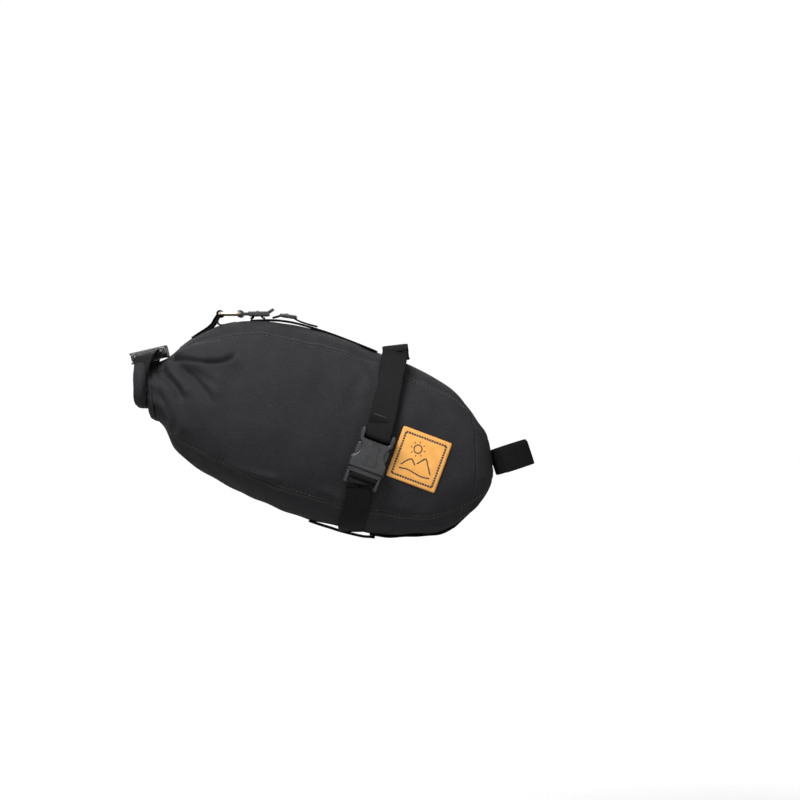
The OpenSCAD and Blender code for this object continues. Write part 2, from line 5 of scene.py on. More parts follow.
import bpy
import numpy as np
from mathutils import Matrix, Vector


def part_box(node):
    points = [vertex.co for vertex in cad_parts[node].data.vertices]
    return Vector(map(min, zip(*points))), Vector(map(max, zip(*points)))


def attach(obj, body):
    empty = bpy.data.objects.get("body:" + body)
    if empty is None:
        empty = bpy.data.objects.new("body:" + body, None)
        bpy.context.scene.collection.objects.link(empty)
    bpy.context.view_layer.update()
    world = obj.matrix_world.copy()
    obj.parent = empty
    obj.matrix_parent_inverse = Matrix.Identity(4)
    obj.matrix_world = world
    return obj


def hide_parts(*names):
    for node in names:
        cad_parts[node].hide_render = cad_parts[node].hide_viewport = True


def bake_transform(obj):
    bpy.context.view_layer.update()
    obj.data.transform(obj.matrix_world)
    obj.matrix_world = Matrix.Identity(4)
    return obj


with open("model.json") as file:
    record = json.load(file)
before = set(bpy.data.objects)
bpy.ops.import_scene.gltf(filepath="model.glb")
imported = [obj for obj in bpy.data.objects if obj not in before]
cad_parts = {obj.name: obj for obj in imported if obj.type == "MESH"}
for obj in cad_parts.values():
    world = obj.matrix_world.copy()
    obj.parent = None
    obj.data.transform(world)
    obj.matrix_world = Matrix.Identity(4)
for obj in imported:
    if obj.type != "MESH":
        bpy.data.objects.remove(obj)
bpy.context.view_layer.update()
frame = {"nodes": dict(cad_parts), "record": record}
MM = 0.001

# ---------------------------------------------------------------- the bag's surface
# The side outline and plan, tail to nose: x, low edge, top edge, half width
PROFILE = np.array([
    [-278, 29, 72, 47], [-271, 22, 73, 47.5], [-264, 8, 77, 49], [-252, -2, 89, 52],
    [-238, -11, 98, 56.5], [-220, -22, 104, 60.5], [-195, -34, 106, 62], [-165, -45.5, 102, 59.5],
    [-135, -54, 94, 55], [-105, -59.5, 82, 50], [-80, -62, 72, 45.5], [-60, -58.5, 62, 41],
    [-46, -52, 53.5, 36.5], [-35, -43.5, 41, 30.5], [-29, -36, 28, 25.5], [-25, -27, 15, 19.5],
    [-22.5, -17, 4, 12], [-21.5, -9, -3, 4],
])
POWER = 2.3
TOP_SEAM, LOW_SEAM = 58, -48
NOSE_X, TIP_X, MOUTH_X = -35, -21.6, -276.5
MOUTH_LEAN, LEAN_START = 0.1, -245
MOUNTS = {mount["name"]: mount for mount in frame["record"]["mounts"]}
POST, RAIL_MOUNT = MOUNTS["seatpost_strap"], MOUNTS["rail_loop_left"]
POST_LEAN = math.asin(POST["axis"][0])
POST_R = POST["dims"]["r_mm"]
WEB_W, WEB_T = 20, 1.6


def profile(x, column):
    """A smooth curve through one column of the profile."""
    xs, v = PROFILE[:, 0], PROFILE[:, column]
    n = len(xs) - 1
    slope = np.array([(v[min(i + 1, n)] - v[max(i - 1, 0)]) / (xs[min(i + 1, n)] - xs[max(i - 1, 0)])
                      for i in range(n + 1)])
    i = np.clip(np.searchsorted(xs, x) - 1, 0, n - 1)
    h = xs[i + 1] - xs[i]
    s = (x - xs[i]) / h
    return ((2 * s**3 - 3 * s**2 + 1) * v[i] + (s**3 - 2 * s**2 + s) * slope[i] * h
            + (3 * s**2 - 2 * s**3) * v[i + 1] + (s**3 - s**2) * slope[i + 1] * h)


def signed_power(v, e):
    return np.sign(v) * np.abs(v) ** e


def mid_z(x):
    return (profile(x, 1) + profile(x, 2)) / 2


def half_h(x):
    return (profile(x, 2) - profile(x, 1)) / 2


def skin(x, angle, out=0.0):
    """Points of the bag's outside at x and an angle in degrees from its left side."""
    x, angle = np.broadcast_arrays(np.asarray(x, float), np.radians(np.asarray(angle, float)))
    y = signed_power(np.cos(angle), 2 / POWER)
    z = signed_power(np.sin(angle), 2 / POWER)
    lean = np.where(x < LEAN_START, MOUTH_LEAN * (LEAN_START - x) / (LEAN_START - MOUTH_X), 0)
    up = (half_h(x) + out) * z
    return np.stack([x - lean * up, (profile(x, 3) + out) * y, mid_z(x) + up], -1)


def side_point(x, z, side, out=0.0):
    """A point on the left (side 1) or right (side -1) of the bag at x and z."""
    angle = np.degrees(np.arcsin(signed_power((z - mid_z(x)) / half_h(x), POWER / 2)))
    p = skin(x, angle, out)
    return p * np.array([1, side, 1])


# ---------------------------------------------------------------- folds and fullness
def fold(x, z, line, depth, width, ridge=0.0, ridge_width=None, fade=8.0):
    """Depth of a fold along a line of (x, z) points: a valley, with a ridge on its upper side."""
    line = np.array(line, float)
    best, sign, along = np.full(x.shape, 1e9), np.zeros(x.shape), np.zeros(x.shape)
    total, run = np.linalg.norm(np.diff(line, axis=0), axis=1).sum(), 0.0
    for a, b in zip(line[:-1], line[1:]):
        d = b - a
        length = np.linalg.norm(d)
        t = np.clip(((x - a[0]) * d[0] + (z - a[1]) * d[1]) / length**2, 0, 1)
        dx, dz = x - a[0] - t * d[0], z - a[1] - t * d[1]
        dist = np.hypot(dx, dz)
        near = dist < best
        best = np.where(near, dist, best)
        sign = np.where(near, np.sign(d[0] * dz - d[1] * dx), sign)
        along = np.where(near, run + t * length, along)
        run += length
    ends = np.clip(along / fade, 0, 1) * np.clip((total - along) / fade, 0, 1)
    ends = ends * ends * (3 - 2 * ends)
    valley = -depth * np.exp(-((best / width) ** 2))
    rise = ridge * np.exp(-(((best * sign - width * 1.9) / (ridge_width or width * 1.2)) ** 2))
    return (valley + rise) * np.maximum(ends, 0.0)


def waves(x, v, count, low, high, seed):
    """Smooth uneven ground: a sum of sine waves with wavelengths from low to high, from -1 to 1."""
    r = np.random.default_rng(seed)
    total = np.zeros(np.broadcast(x, v).shape)
    for _ in range(count):
        k = 2 * math.pi / r.uniform(low, high)
        turn, phase = r.uniform(0, 2 * math.pi), r.uniform(0, 2 * math.pi)
        total += np.sin(k * (x * math.cos(turn) + v * math.sin(turn)) + phase)
    return total / math.sqrt(count)


def smooth_step(value, low, high):
    t = np.clip((value - low) / (high - low), 0, 1)
    return t * t * (3 - 2 * t)


def bump_at(value, centre, width):
    return np.exp(-(((value - centre) / width) ** 2))


# How far the nose's sides stand forward, by height
NOSE_PUSH = [(-60, 0), (-47, 2), (-33, 4.8), (-26, 6.8), (-15, 9), (0, 8), (12, 8), (20, 7.4), (30, 4.2),
             (42, 1.2), (52, 0)]

# Folds on the side panels, as (x, z) lines with depth, width, ridge and fade
SIDE_FOLDS = [
    dict(line=[(-272, 72.5), (-262, 75), (-248, 73.6), (-235, 72.6), (-222, 73.2), (-214, 76.5), (-210, 82)],
         depth=4.4, width=1.6, ridge=3.2, ridge_width=8, fade=9),
    dict(line=[(-277, 71), (-267, 63.5), (-258, 53.5), (-251, 42)],
         depth=3.8, width=3.4, ridge=2.4, ridge_width=4.5, fade=9),
    dict(line=[(-263, 74), (-253, 68), (-243, 60), (-235, 51), (-229, 40)], depth=3.6, width=3.8, ridge=2.2,
         ridge_width=5.5, fade=12),
    dict(line=[(-250, 70), (-240, 65), (-230, 58), (-223, 50)], depth=1.9, width=3.2, ridge=1.2, fade=10),
    dict(line=[(-277, 60), (-272, 51), (-267, 40), (-262, 27), (-259, 15)],
         depth=2.8, width=3.6, ridge=1.8, fade=8),
    dict(line=[(-276, 44), (-270, 34), (-265, 22)], depth=1.8, width=2.6, ridge=1.2, fade=7),
    dict(line=[(-243, -2), (-234, -9), (-224, -19), (-214, -26)], depth=3.6, width=2.2, ridge=3.0, fade=7),
    dict(line=[(-228, -7), (-214, -12), (-196, -17), (-174, -22)], depth=3.6, width=2.6, ridge=2.2, fade=14),
    dict(line=[(-200, -26), (-180, -32), (-160, -37), (-138, -43)], depth=2.4, width=2.6, ridge=1.8, fade=14),
    dict(line=[(-176, 93), (-156, 86), (-130, 77)], depth=1.0, width=6, ridge=0.8, fade=16),
    dict(line=[(-222, 92), (-206, 96), (-188, 96)], depth=0.9, width=4, ridge=0.7, fade=12),
    dict(line=[(-62, 48), (-50, 30), (-44, 8)], depth=0.8, width=7, ridge=0.5, fade=14),
    dict(line=[(-150, -26), (-138, -36), (-129, -46)], depth=1.7, width=3.2, ridge=1.0, fade=8),
    dict(line=[(-106, -34), (-94, -43), (-76, -50)], depth=1.6, width=4, ridge=1.1, fade=10),
    dict(line=[(-112, 66), (-122, 52), (-126, 34)], depth=0.9, width=5, ridge=0.6, fade=10),
]


def relief(x, angle):
    """How far the cloth stands out from the plain surface, in mm, at each grid point."""
    p = skin(x, angle)
    z = p[..., 2]
    wrapped = (angle + 180) % 360 - 180
    side = np.where(np.abs(wrapped) <= 90, 1, -1)
    folded = np.where(side > 0, wrapped, np.sign(wrapped) * 180 - wrapped)
    on_side = np.clip((folded - LOW_SEAM + 2) / 12, 0, 1) * np.clip((TOP_SEAM + 4 - folded) / 10, 0, 1)
    arc = np.radians(folded) * 55
    total = np.zeros(x.shape)
    for k, f in enumerate(SIDE_FOLDS):
        shift = np.where(side > 0, 4 * math.sin(k * 2.1), 0)
        total += fold(p[..., 0] + shift, z - shift * 0.6, **f) * on_side
    # The seams pull the cloth in, and the cloth puckers beside them
    for seam in (TOP_SEAM, LOW_SEAM):
        dist = np.abs(np.radians(folded - seam)) * 55
        total -= 1.1 * np.exp(-((dist / 5) ** 2))
        pucker = waves(x, arc * 0.12, 5, 9, 17, 100 + seam)
        total += 0.28 * pucker * np.exp(-((dist / 9) ** 2))
    # The tail is gathered towards the mouth
    tail = np.clip((-243 - x) / 32, 0, 1)
    gathers = 1.1 * np.sin(np.radians(folded) * 11 + x * 0.05)
    total += tail**1.3 * (gathers * np.clip(1 - np.abs(folded) / 95, 0.3, 1))
    total += 0.75 * waves(x, arc, 6, 34, 80, 3) + 0.30 * waves(x, arc, 7, 15, 30, 4)
    # The bulge over the fold at the top of the tail, and the fullness of the lower side
    total += 2.4 * np.exp(-(((p[..., 0] + 236) / 18) ** 2 + ((z - 84) / 7) ** 2)) * on_side
    total += 1.1 * np.exp(-(((p[..., 0] + 150) / 60) ** 2 + ((z - 5) / 34) ** 2))
    # Flat under the straps and the label
    strap_x = np.interp(z, [-60, -20, 20, 88], [-124, -116, -103, -90])
    total *= 1 - 0.75 * np.exp(-(((p[..., 0] - strap_x) / 13) ** 4))
    total *= 1 - 0.8 * np.exp(-(((p[..., 0] + 72) / 26) ** 4 + ((z + 1) / 26) ** 4))
    top = np.abs(wrapped - 90) < 24
    total = np.where(top & (x > -215), total * 0.4, total)
    near_nose = np.clip((x - NOSE_X) / (TIP_X - NOSE_X), 0, 1)
    return total * (1 - 0.8 * near_nose)


def grid_normals(p):
    du = np.gradient(p, axis=0)
    dv = np.gradient(p, axis=1)
    n = np.cross(dv, du)
    return n / np.maximum(np.linalg.norm(n, axis=-1, keepdims=True), 1e-9)


def cloth_point(x, angle):
    """The finished cloth surface over a grid of x (rows) and angle (columns)."""
    p = skin(x, angle)
    n = grid_normals(p)
    outward = p - np.stack([p[..., 0], 0 * x, mid_z(x)], -1)
    n = n * np.sign((n * outward).sum(-1, keepdims=True) + 1e-9)
    p = p + n * relief(x, angle)[..., None]
    # The nose wraps round the seatpost, so its sides stand further forward than its middle
    beside = smooth_step(np.abs(p[..., 1]), 5, 14)
    forward = np.interp(p[..., 2], *zip(*NOSE_PUSH))
    p[..., 0] += forward * beside * smooth_step(p[..., 0], -66, -25) ** 1.4
    # The lower front is full
    p[..., 2] -= 2.2 * smooth_step(p[..., 0], -80, -48) * smooth_step(-p[..., 2], 8, 36)
    return p


# ---------------------------------------------------------------- mesh helpers
def make_mesh(name, points, faces, material, uv=None, smooth=True):
    """A mesh object from points in mm; uv is one pair in mm for each point."""
    mesh = bpy.data.meshes.new(name)
    mesh.from_pydata((np.asarray(points, float).reshape(-1, 3) * MM).tolist(), [], [tuple(f) for f in faces])
    if uv is not None:
        layer = mesh.uv_layers.new(name="weave")
        index = np.empty(len(mesh.loops), int)
        mesh.loops.foreach_get("vertex_index", index)
        layer.data.foreach_set("uv", (np.asarray(uv, float).reshape(-1, 2)[index]).astype(np.float32).ravel())
    mesh.polygons.foreach_set("use_smooth", [smooth] * len(mesh.polygons))
    mesh.materials.append(material)
    mesh.validate()
    mesh.update()
    obj = bpy.data.objects.new(name, mesh)
    bpy.context.scene.collection.objects.link(obj)
    return obj


def grid_faces(rows, cols, closed=False):
    wide = cols if closed else cols - 1
    return [(i * cols + j, i * cols + (j + 1) % cols, (i + 1) * cols + (j + 1) % cols, (i + 1) * cols + j)
            for i in range(rows - 1) for j in range(wide)]


def arc_uv(p):
    """UV in mm over a grid: along the rows by x length, along the columns by length."""
    du = np.linalg.norm(np.diff(p, axis=0), axis=-1).mean(1)
    dv = np.linalg.norm(np.diff(p, axis=1), axis=-1)
    u = np.concatenate([[0], np.cumsum(du)])[:, None] + np.zeros(p.shape[1])
    v = np.concatenate([np.zeros((p.shape[0], 1)), np.cumsum(dv, axis=1)], axis=1)
    v = v - v[:, [p.shape[1] // 2]]
    return np.stack([u, v], -1)


def thicken(obj, mm, offset=-1):
    mod = obj.modifiers.new("thickness", "SOLIDIFY")
    mod.thickness, mod.offset = mm * MM, offset
    mod.use_even_offset = False
    return obj


def spline(points, step=1.5, closed=False):
    """A smooth line through points, with even steps of about step mm. Extra columns come along."""
    p = np.array(points, float)
    n = len(p)
    out = []
    spans = n if closed else n - 1
    for i in range(spans):
        a, b = p[i], p[(i + 1) % n]
        before = p[(i - 1) % n] if closed or i > 0 else 2 * a - b
        after = p[(i + 2) % n] if closed or i + 2 < n else 2 * b - a
        count = max(2, int(np.linalg.norm((b - a)[:3]) / step) + 1)
        for s in np.linspace(0, 1, count, endpoint=False):
            out.append(0.5 * (2 * a + (b - before) * s + (2 * before - 5 * a + 4 * b - after) * s**2
                              + (3 * a - before - 3 * b + after) * s**3))
    if not closed:
        out.append(p[-1])
    return np.array(out)


def unit(v):
    return v / np.maximum(np.linalg.norm(v, axis=-1, keepdims=True), 1e-9)


def sweep(name, path, across, outward, section, material, caps=True):
    """A closed skin along a path. section(i) gives (across, outward) offsets in mm round the path."""
    rings = []
    for i, (p, w, n) in enumerate(zip(path, across, outward)):
        s = section(i)
        rings.append(p + s[:, :1] * w + s[:, 1:] * n)
    rings = np.array(rings)
    rows, cols = rings.shape[:2]
    faces = grid_faces(rows, cols, closed=True)
    if caps:
        faces += [tuple(range(cols))[::-1], tuple((rows - 1) * cols + j for j in range(cols))]
    length = np.concatenate([[0], np.cumsum(np.linalg.norm(np.diff(path, axis=0), axis=1))])
    s = section(0)
    uv = np.stack([length[:, None] + np.zeros(cols), np.zeros((rows, 1)) + s[:, 0]], -1)
    return make_mesh(name, rings, faces, material, uv)


def web_section(width, thickness, points=20, crown=0.0):
    t = np.linspace(0, 2 * math.pi, points, endpoint=False)
    x = signed_power(np.cos(t), 0.30) * width / 2
    y = signed_power(np.sin(t), 0.45) * thickness / 2
    return np.stack([x, y + crown * (1 - (2 * x / width) ** 2)], -1)


def strap(name, points, outs, material, width=WEB_W, thickness=WEB_T, step=1.5, across=None, taper=(1, 1)):
    """Webbing through points, lying on its inner face; outs are the directions of its outer face.
    taper is its first width and the share of its length before it is full width."""
    data = spline(np.hstack([np.array(points, float), unit(np.array(outs, float))]), step)
    path, n = data[:, :3], unit(data[:, 3:6])
    t = unit(np.gradient(path, axis=0))
    w = unit(np.cross(t, n)) if across is None else np.broadcast_to(unit(np.array(across, float)), t.shape)
    n = unit(np.cross(w, t))
    path = path + n * (thickness / 2)
    section = web_section(width, thickness)
    share = np.interp(np.linspace(0, 1, len(path)), [0, taper[1]], [taper[0], 1])
    return sweep(name, path, w, n, lambda i: section * np.array([share[i], 1]), material)


def stitch_row(points, outs, pitch=3.2, length=2.3, radius=0.28, lift=0.05):
    """Points and faces of a row of thread stitches along a line that lies on a surface."""
    data = spline(np.hstack([np.array(points, float), unit(np.array(outs, float))]), 0.5)
    path, n = data[:, :3], unit(data[:, 3:6])
    run = np.concatenate([[0], np.cumsum(np.linalg.norm(np.diff(path, axis=0), axis=1))])
    verts, faces = [], []
    for start in np.arange(0.4, run[-1] - length, pitch):
        s = np.linspace(start, start + length, 5)
        c = np.stack([np.interp(s, run, path[:, k]) for k in range(3)], -1)
        o = unit(np.stack([np.interp(s, run, n[:, k]) for k in range(3)], -1))
        t = unit(np.gradient(c, axis=0))
        w = np.cross(t, o)
        size = radius * np.array([0.35, 0.9, 1, 0.9, 0.35])
        sink = np.array([-0.5, 0.4, 0.75, 0.4, -0.5]) * radius + lift
        base = len(verts)
        for k in range(5):
            for a in np.linspace(0, 2 * math.pi, 6, endpoint=False):
                verts.append(c[k] + o[k] * sink[k] + size[k] * (w[k] * math.cos(a) + o[k] * math.sin(a)))
        for k in range(4):
            for j in range(6):
                faces.append((base + k * 6 + j, base + k * 6 + (j + 1) % 6,
                              base + (k + 1) * 6 + (j + 1) % 6, base + (k + 1) * 6 + j))
        faces.append(tuple(base + j for j in range(5, -1, -1)))
        faces.append(tuple(base + 24 + j for j in range(6)))
    return verts, faces


def stitches(name, rows, material, **look):
    """One piece made of several rows of stitches, each a (points, outs) pair."""
    verts, faces = [], []
    for points, outs in rows:
        v, f = stitch_row(points, outs, **look)
        faces += [tuple(k + len(verts) for k in face) for face in f]
        verts += v
    return make_mesh(name, verts, faces, material, np.array(verts)[:, :2])


# ---------------------------------------------------------------- moulded pieces, in a local frame
def round_plate(outline, y0, y1, r, steps=4):
    """Points and faces of an extruded outline in x and z with rounded rims, between y0 and y1."""
    o = np.array(outline, float)
    if np.sum(o[:, 0] * np.roll(o[:, 1], -1) - np.roll(o[:, 0], -1) * o[:, 1]) < 0:
        o = o[::-1]
    edge = unit(np.roll(o, -1, 0) - np.roll(o, 1, 0))
    inward = np.stack([-edge[:, 1], edge[:, 0]], -1)
    rings = [(y0 + r * (1 - math.cos(math.pi / 2 * k / steps)), r * (1 - math.sin(math.pi / 2 * k / steps)))
             for k in range(steps + 1)]
    rings += [(y0 + y1 - y, inset) for y, inset in rings[::-1]]
    n = len(o)
    verts = [(q[0], y, q[1]) for y, inset in rings for q in o + inward * inset]
    faces = [(k * n + j, k * n + (j + 1) % n, (k + 1) * n + (j + 1) % n, (k + 1) * n + j)
             for k in range(len(rings) - 1) for j in range(n)]
    faces += [tuple(range(n))[::-1], tuple((len(rings) - 1) * n + j for j in range(n))]
    return verts, faces


def mirrored(half):
    half = [tuple(q) for q in half]
    return half + [(-x, z) for x, z in half[::-1]]


def soft_outline(points, step=0.8):
    return spline(np.array(points, float), step, closed=True)


def box_outline(x0, x1, z0, z1, r=0.6, steps=4):
    out = []
    for cx, cz, a0 in ((x1 - r, z1 - r, 0), (x0 + r, z1 - r, 90), (x0 + r, z0 + r, 180), (x1 - r, z0 + r, 270)):
        for k in range(steps + 1):
            a = math.radians(a0 + 90 * k / steps)
            out.append((cx + r * math.cos(a), cz + r * math.sin(a)))
    return out


def bar(x0, x1, z, r, y=0.0, sides=20):
    """Points and faces of a round bar along x."""
    verts, faces = [], []
    for k, (x, size) in enumerate(((x0, 0.7), (x0 + 0.3 * r, 1), (x1 - 0.3 * r, 1), (x1, 0.7))):
        for j in range(sides):
            a = 2 * math.pi * j / sides
            verts.append((x, y + size * r * math.cos(a), z + size * r * math.sin(a)))
    for k in range(3):
        faces += [(k * sides + j, k * sides + (j + 1) % sides, (k + 1) * sides + (j + 1) % sides,
                   (k + 1) * sides + j) for j in range(sides)]
    faces += [tuple(range(sides))[::-1], tuple(3 * sides + j for j in range(sides))]
    return verts, faces


def assemble(name, parts, place, material, sharp=40):
    """One moulded piece from several closed skins, moved from local to bag coordinates by place."""
    verts, faces = [], []
    for v, f in parts:
        faces += [tuple(k + len(verts) for k in face) for face in f]
        verts += [tuple(q) for q in v]
    local = np.array(verts)
    obj = make_mesh(name, place(local), faces, material, local[:, [0, 2]])
    obj.data.set_sharp_from_angle(angle=math.radians(sharp))
    return obj


def turn_matrix(rx, ry, rz):
    a, b, c = (math.radians(v) for v in (rx, ry, rz))
    mx = np.array([[1, 0, 0], [0, math.cos(a), -math.sin(a)], [0, math.sin(a), math.cos(a)]])
    my = np.array([[math.cos(b), 0, math.sin(b)], [0, 1, 0], [-math.sin(b), 0, math.cos(b)]])
    mz = np.array([[math.cos(c), -math.sin(c), 0], [math.sin(c), math.cos(c), 0], [0, 0, 1]])
    return mz @ my @ mx


SIDE_BUCKLE = np.array([-107.8, 56.6, 5.5])
SIDE_TURN = turn_matrix(-4, 20, -9.5)
ROLL_BUCKLE = np.array([-281.5, 6.5, 79.6])
ROLL_TURN = turn_matrix(0, -13, 0) @ turn_matrix(-90, 0, 0)


def side_place(side):
    def place(local):
        return (np.asarray(local) @ SIDE_TURN.T + SIDE_BUCKLE) * np.array([1, side, 1])
    return place


def roll_place(local):
    return np.asarray(local) @ ROLL_TURN.T + ROLL_BUCKLE


def post_place(local):
    """From the seatpost's own axes, x forward, y left and z up the post."""
    turn = turn_matrix(0, -math.degrees(POST_LEAN), 0)
    return np.asarray(local) @ turn.T


# ---------------------------------------------------------------- materials
class Look:
    """A Principled material with a short way to add nodes."""

    def __init__(self, name, roughness=0.6, specular=0.5, metallic=0.0, sheen=0.0, coat=0.0):
        self.material = bpy.data.materials.new(name)
        self.material.use_nodes = True
        self.tree = self.material.node_tree
        self.shader = self.tree.nodes["Principled BSDF"]
        for socket, value in (("Roughness", roughness), ("Specular IOR Level", specular),
                              ("Metallic", metallic), ("Sheen Weight", sheen), ("Coat Weight", coat)):
            self.shader.inputs[socket].default_value = value

    def add(self, kind, *inputs, **settings):
        node = self.tree.nodes.new(kind)
        for key, value in settings.items():
            setattr(node, key, value)
        for index, value in enumerate(inputs):
            self.put(node.inputs[index], value)
        return node

    def put(self, socket, value):
        if value is None:
            return
        if isinstance(value, bpy.types.NodeSocket):
            self.tree.links.new(value, socket)
        else:
            socket.default_value = value

    def math(self, operation, a, b=None, c=None):
        return self.add("ShaderNodeMath", a, b, c, operation=operation).outputs[0]

    def uv(self):
        """The piece's own UV in mm, as separate u and v."""
        node = self.tree.nodes.new("ShaderNodeUVMap")
        node.uv_map = "weave"
        split = self.add("ShaderNodeSeparateXYZ", node.outputs[0])
        return node.outputs[0], split.outputs[0], split.outputs[1]

    def noise(self, vector, scale, detail=3.0, rough=0.55):
        node = self.tree.nodes.new("ShaderNodeTexNoise")
        self.put(node.inputs["Vector"], vector)
        node.inputs["Scale"].default_value = scale
        node.inputs["Detail"].default_value = detail
        node.inputs["Roughness"].default_value = rough
        return node.outputs[0]

    def place(self):
        return self.tree.nodes.new("ShaderNodeTexCoord").outputs["Object"]

    def ramp(self, value, stops):
        node = self.add("ShaderNodeValToRGB", value)
        while len(node.color_ramp.elements) < len(stops):
            node.color_ramp.elements.new(0.5)
        for element, (position, colour) in zip(node.color_ramp.elements, stops):
            element.position, element.color = position, (*colour, 1)
        return node.outputs[0]

    def mix(self, factor, a, b, blend="MIX"):
        node = self.tree.nodes.new("ShaderNodeMix")
        node.data_type, node.blend_type = "RGBA", blend
        self.put(node.inputs[0], factor)
        self.put(node.inputs[6], a if isinstance(a, bpy.types.NodeSocket) else (*a, 1))
        self.put(node.inputs[7], b if isinstance(b, bpy.types.NodeSocket) else (*b, 1))
        return node.outputs[2]

    def colour(self, value):
        self.put(self.shader.inputs["Base Color"], value)

    def rough(self, value, low, high):
        node = self.add("ShaderNodeMapRange", value, 0.0, 1.0, low, high)
        self.put(self.shader.inputs["Roughness"], node.outputs[0])

    def bump(self, height, mm, strength=1.0):
        node = self.tree.nodes.new("ShaderNodeBump")
        node.inputs["Strength"].default_value = strength
        node.inputs["Distance"].default_value = mm * MM
        self.put(node.inputs["Height"], height)
        if self.shader.inputs["Normal"].is_linked:
            self.put(node.inputs["Normal"], self.shader.inputs["Normal"].links[0].from_socket)
        self.put(self.shader.inputs["Normal"], node.outputs[0])

    def sine(self, value, pitch, phase=0.0):
        """A wave from 0 to 1 with a pitch in mm."""
        turned = self.math("MULTIPLY_ADD", value, 2 * math.pi / pitch, phase)
        return self.math("MULTIPLY_ADD", self.math("SINE", turned), 0.5, 0.5)


def shell_look():
    look = Look("coated_nylon", roughness=0.70, specular=0.035)
    uv, u, v = look.uv()
    warp, weft = look.sine(u, 0.75), look.sine(v, 0.75)
    weave = look.math("MULTIPLY", warp, weft)
    fine = look.noise(uv, 1.6, 2.0, 0.7)
    broad = look.noise(look.place(), 22.0, 4.0)
    scuff = look.noise(look.place(), 160.0, 5.0, 0.7)
    base = look.ramp(fine, [(0.3, (0.0115, 0.0114, 0.0122)), (0.7, (0.0225, 0.0223, 0.0235))])
    base = look.mix(look.math("MULTIPLY", weave, 0.35), base, (0.030, 0.030, 0.0315))
    base = look.mix(look.math("MULTIPLY", broad, 0.30), base, (0.0150, 0.0146, 0.0178))
    slub = look.noise(uv, 0.95, 2.0, 0.75)
    dark_yarn = look.add("ShaderNodeMapRange", slub, 0.40, 0.62, 0.0, 0.72).outputs[0]
    base = look.mix(dark_yarn, base, (0.0088, 0.0086, 0.0100))
    cloud = look.noise(uv, 0.11, 4.0, 0.6)
    base = look.mix(look.add("ShaderNodeMapRange", cloud, 0.45, 0.75, 0.0, 0.13).outputs[0], base,
                    (0.0310, 0.0305, 0.0330))
    worn = look.add("ShaderNodeMapRange", scuff, 0.60, 0.80, 0.0, 0.16).outputs[0]
    look.colour(look.mix(worn, base, (0.040, 0.040, 0.041)))
    look.rough(scuff, 0.68, 0.92)
    look.bump(weave, 0.10, 0.7)
    look.bump(fine, 0.12, 0.5)
    look.bump(slub, 0.30, 0.55)
    return look.material


def tape_look():
    look = Look("binding_tape", roughness=0.8, specular=0.02)
    uv, u, _ = look.uv()
    rib = look.sine(u, 0.9)
    fine = look.noise(uv, 2.2)
    base = look.ramp(fine, [(0.3, (0.0100, 0.0100, 0.0106)), (0.7, (0.0180, 0.0180, 0.0190))])
    look.colour(look.mix(rib, base, (0.026, 0.026, 0.027)))
    look.rough(fine, 0.65, 0.9)
    look.bump(rib, 0.12, 0.7)
    return look.material


def webbing_look():
    """Nylon webbing: fine cross ribs, a soft chevron and plain edges."""
    look = Look("nylon_webbing", roughness=0.5, specular=0.02)
    uv, u, v = look.uv()
    side = look.math("ABSOLUTE", v)
    slant = look.math("MULTIPLY_ADD", side, 0.55, u)
    rib = look.sine(slant, 1.15)
    cord = look.sine(v, 1.3)
    weave = look.math("MULTIPLY_ADD", rib, 0.7, look.math("MULTIPLY", cord, 0.3))
    edge = look.add("ShaderNodeMapRange", side, 8.6, 9.4, 0.0, 1.0).outputs[0]
    fine = look.noise(uv, 1.3, 4.0, 0.65)
    base = look.ramp(fine, [(0.3, (0.0036, 0.0034, 0.0036)), (0.72, (0.0078, 0.0073, 0.0078))])
    base = look.mix(look.math("MULTIPLY", weave, 0.5), base, (0.0145, 0.0135, 0.0143))
    base = look.mix(look.math("MULTIPLY", edge, 0.5), base, (0.0040, 0.0037, 0.0040))
    look.colour(base)
    look.rough(weave, 0.50, 0.75)
    look.bump(weave, 0.22, 0.8)
    look.bump(fine, 0.10, 0.4)
    return look.material


def pile_look():
    """Hook-and-loop: a short brushed pile."""
    look = Look("hook_and_loop", roughness=0.95, specular=0.01)
    uv = look.uv()[0]
    fuzz = look.noise(uv, 2.4, 6.0, 0.8)
    tuft = look.noise(uv, 0.7, 3.0, 0.6)
    base = look.ramp(fuzz, [(0.32, (0.0030, 0.0030, 0.0031)), (0.7, (0.0095, 0.0092, 0.0095))])
    look.colour(look.mix(look.math("MULTIPLY", tuft, 0.4), base, (0.0065, 0.0062, 0.0065)))
    look.bump(fuzz, 0.5, 0.8)
    look.bump(tuft, 0.4, 0.4)
    return look.material


def plastic_look():
    """Moulded acetal: satin, with the mould's fine grain and light rubbing."""
    look = Look("moulded_acetal", roughness=0.34, specular=0.38)
    place = look.place()
    grain = look.noise(place, 2600.0, 3.0)
    rub = look.noise(place, 120.0, 5.0, 0.65)
    base = look.ramp(rub, [(0.35, (0.0085, 0.0088, 0.0096)), (0.75, (0.0200, 0.0206, 0.0222))])
    look.colour(base)
    look.rough(rub, 0.30, 0.50)
    look.bump(grain, 0.05, 0.35)
    look.bump(rub, 0.10, 0.15)
    return look.material


def thread_look(name, dark, light):
    look = Look(name, roughness=0.6, specular=0.35, sheen=0.2)
    place = look.place()
    twist = look.noise(place, 900.0, 3.0)
    look.colour(look.ramp(twist, [(0.3, dark), (0.75, light)]))
    look.rough(twist, 0.45, 0.75)
    look.bump(twist, 0.12, 0.6)
    return look.material


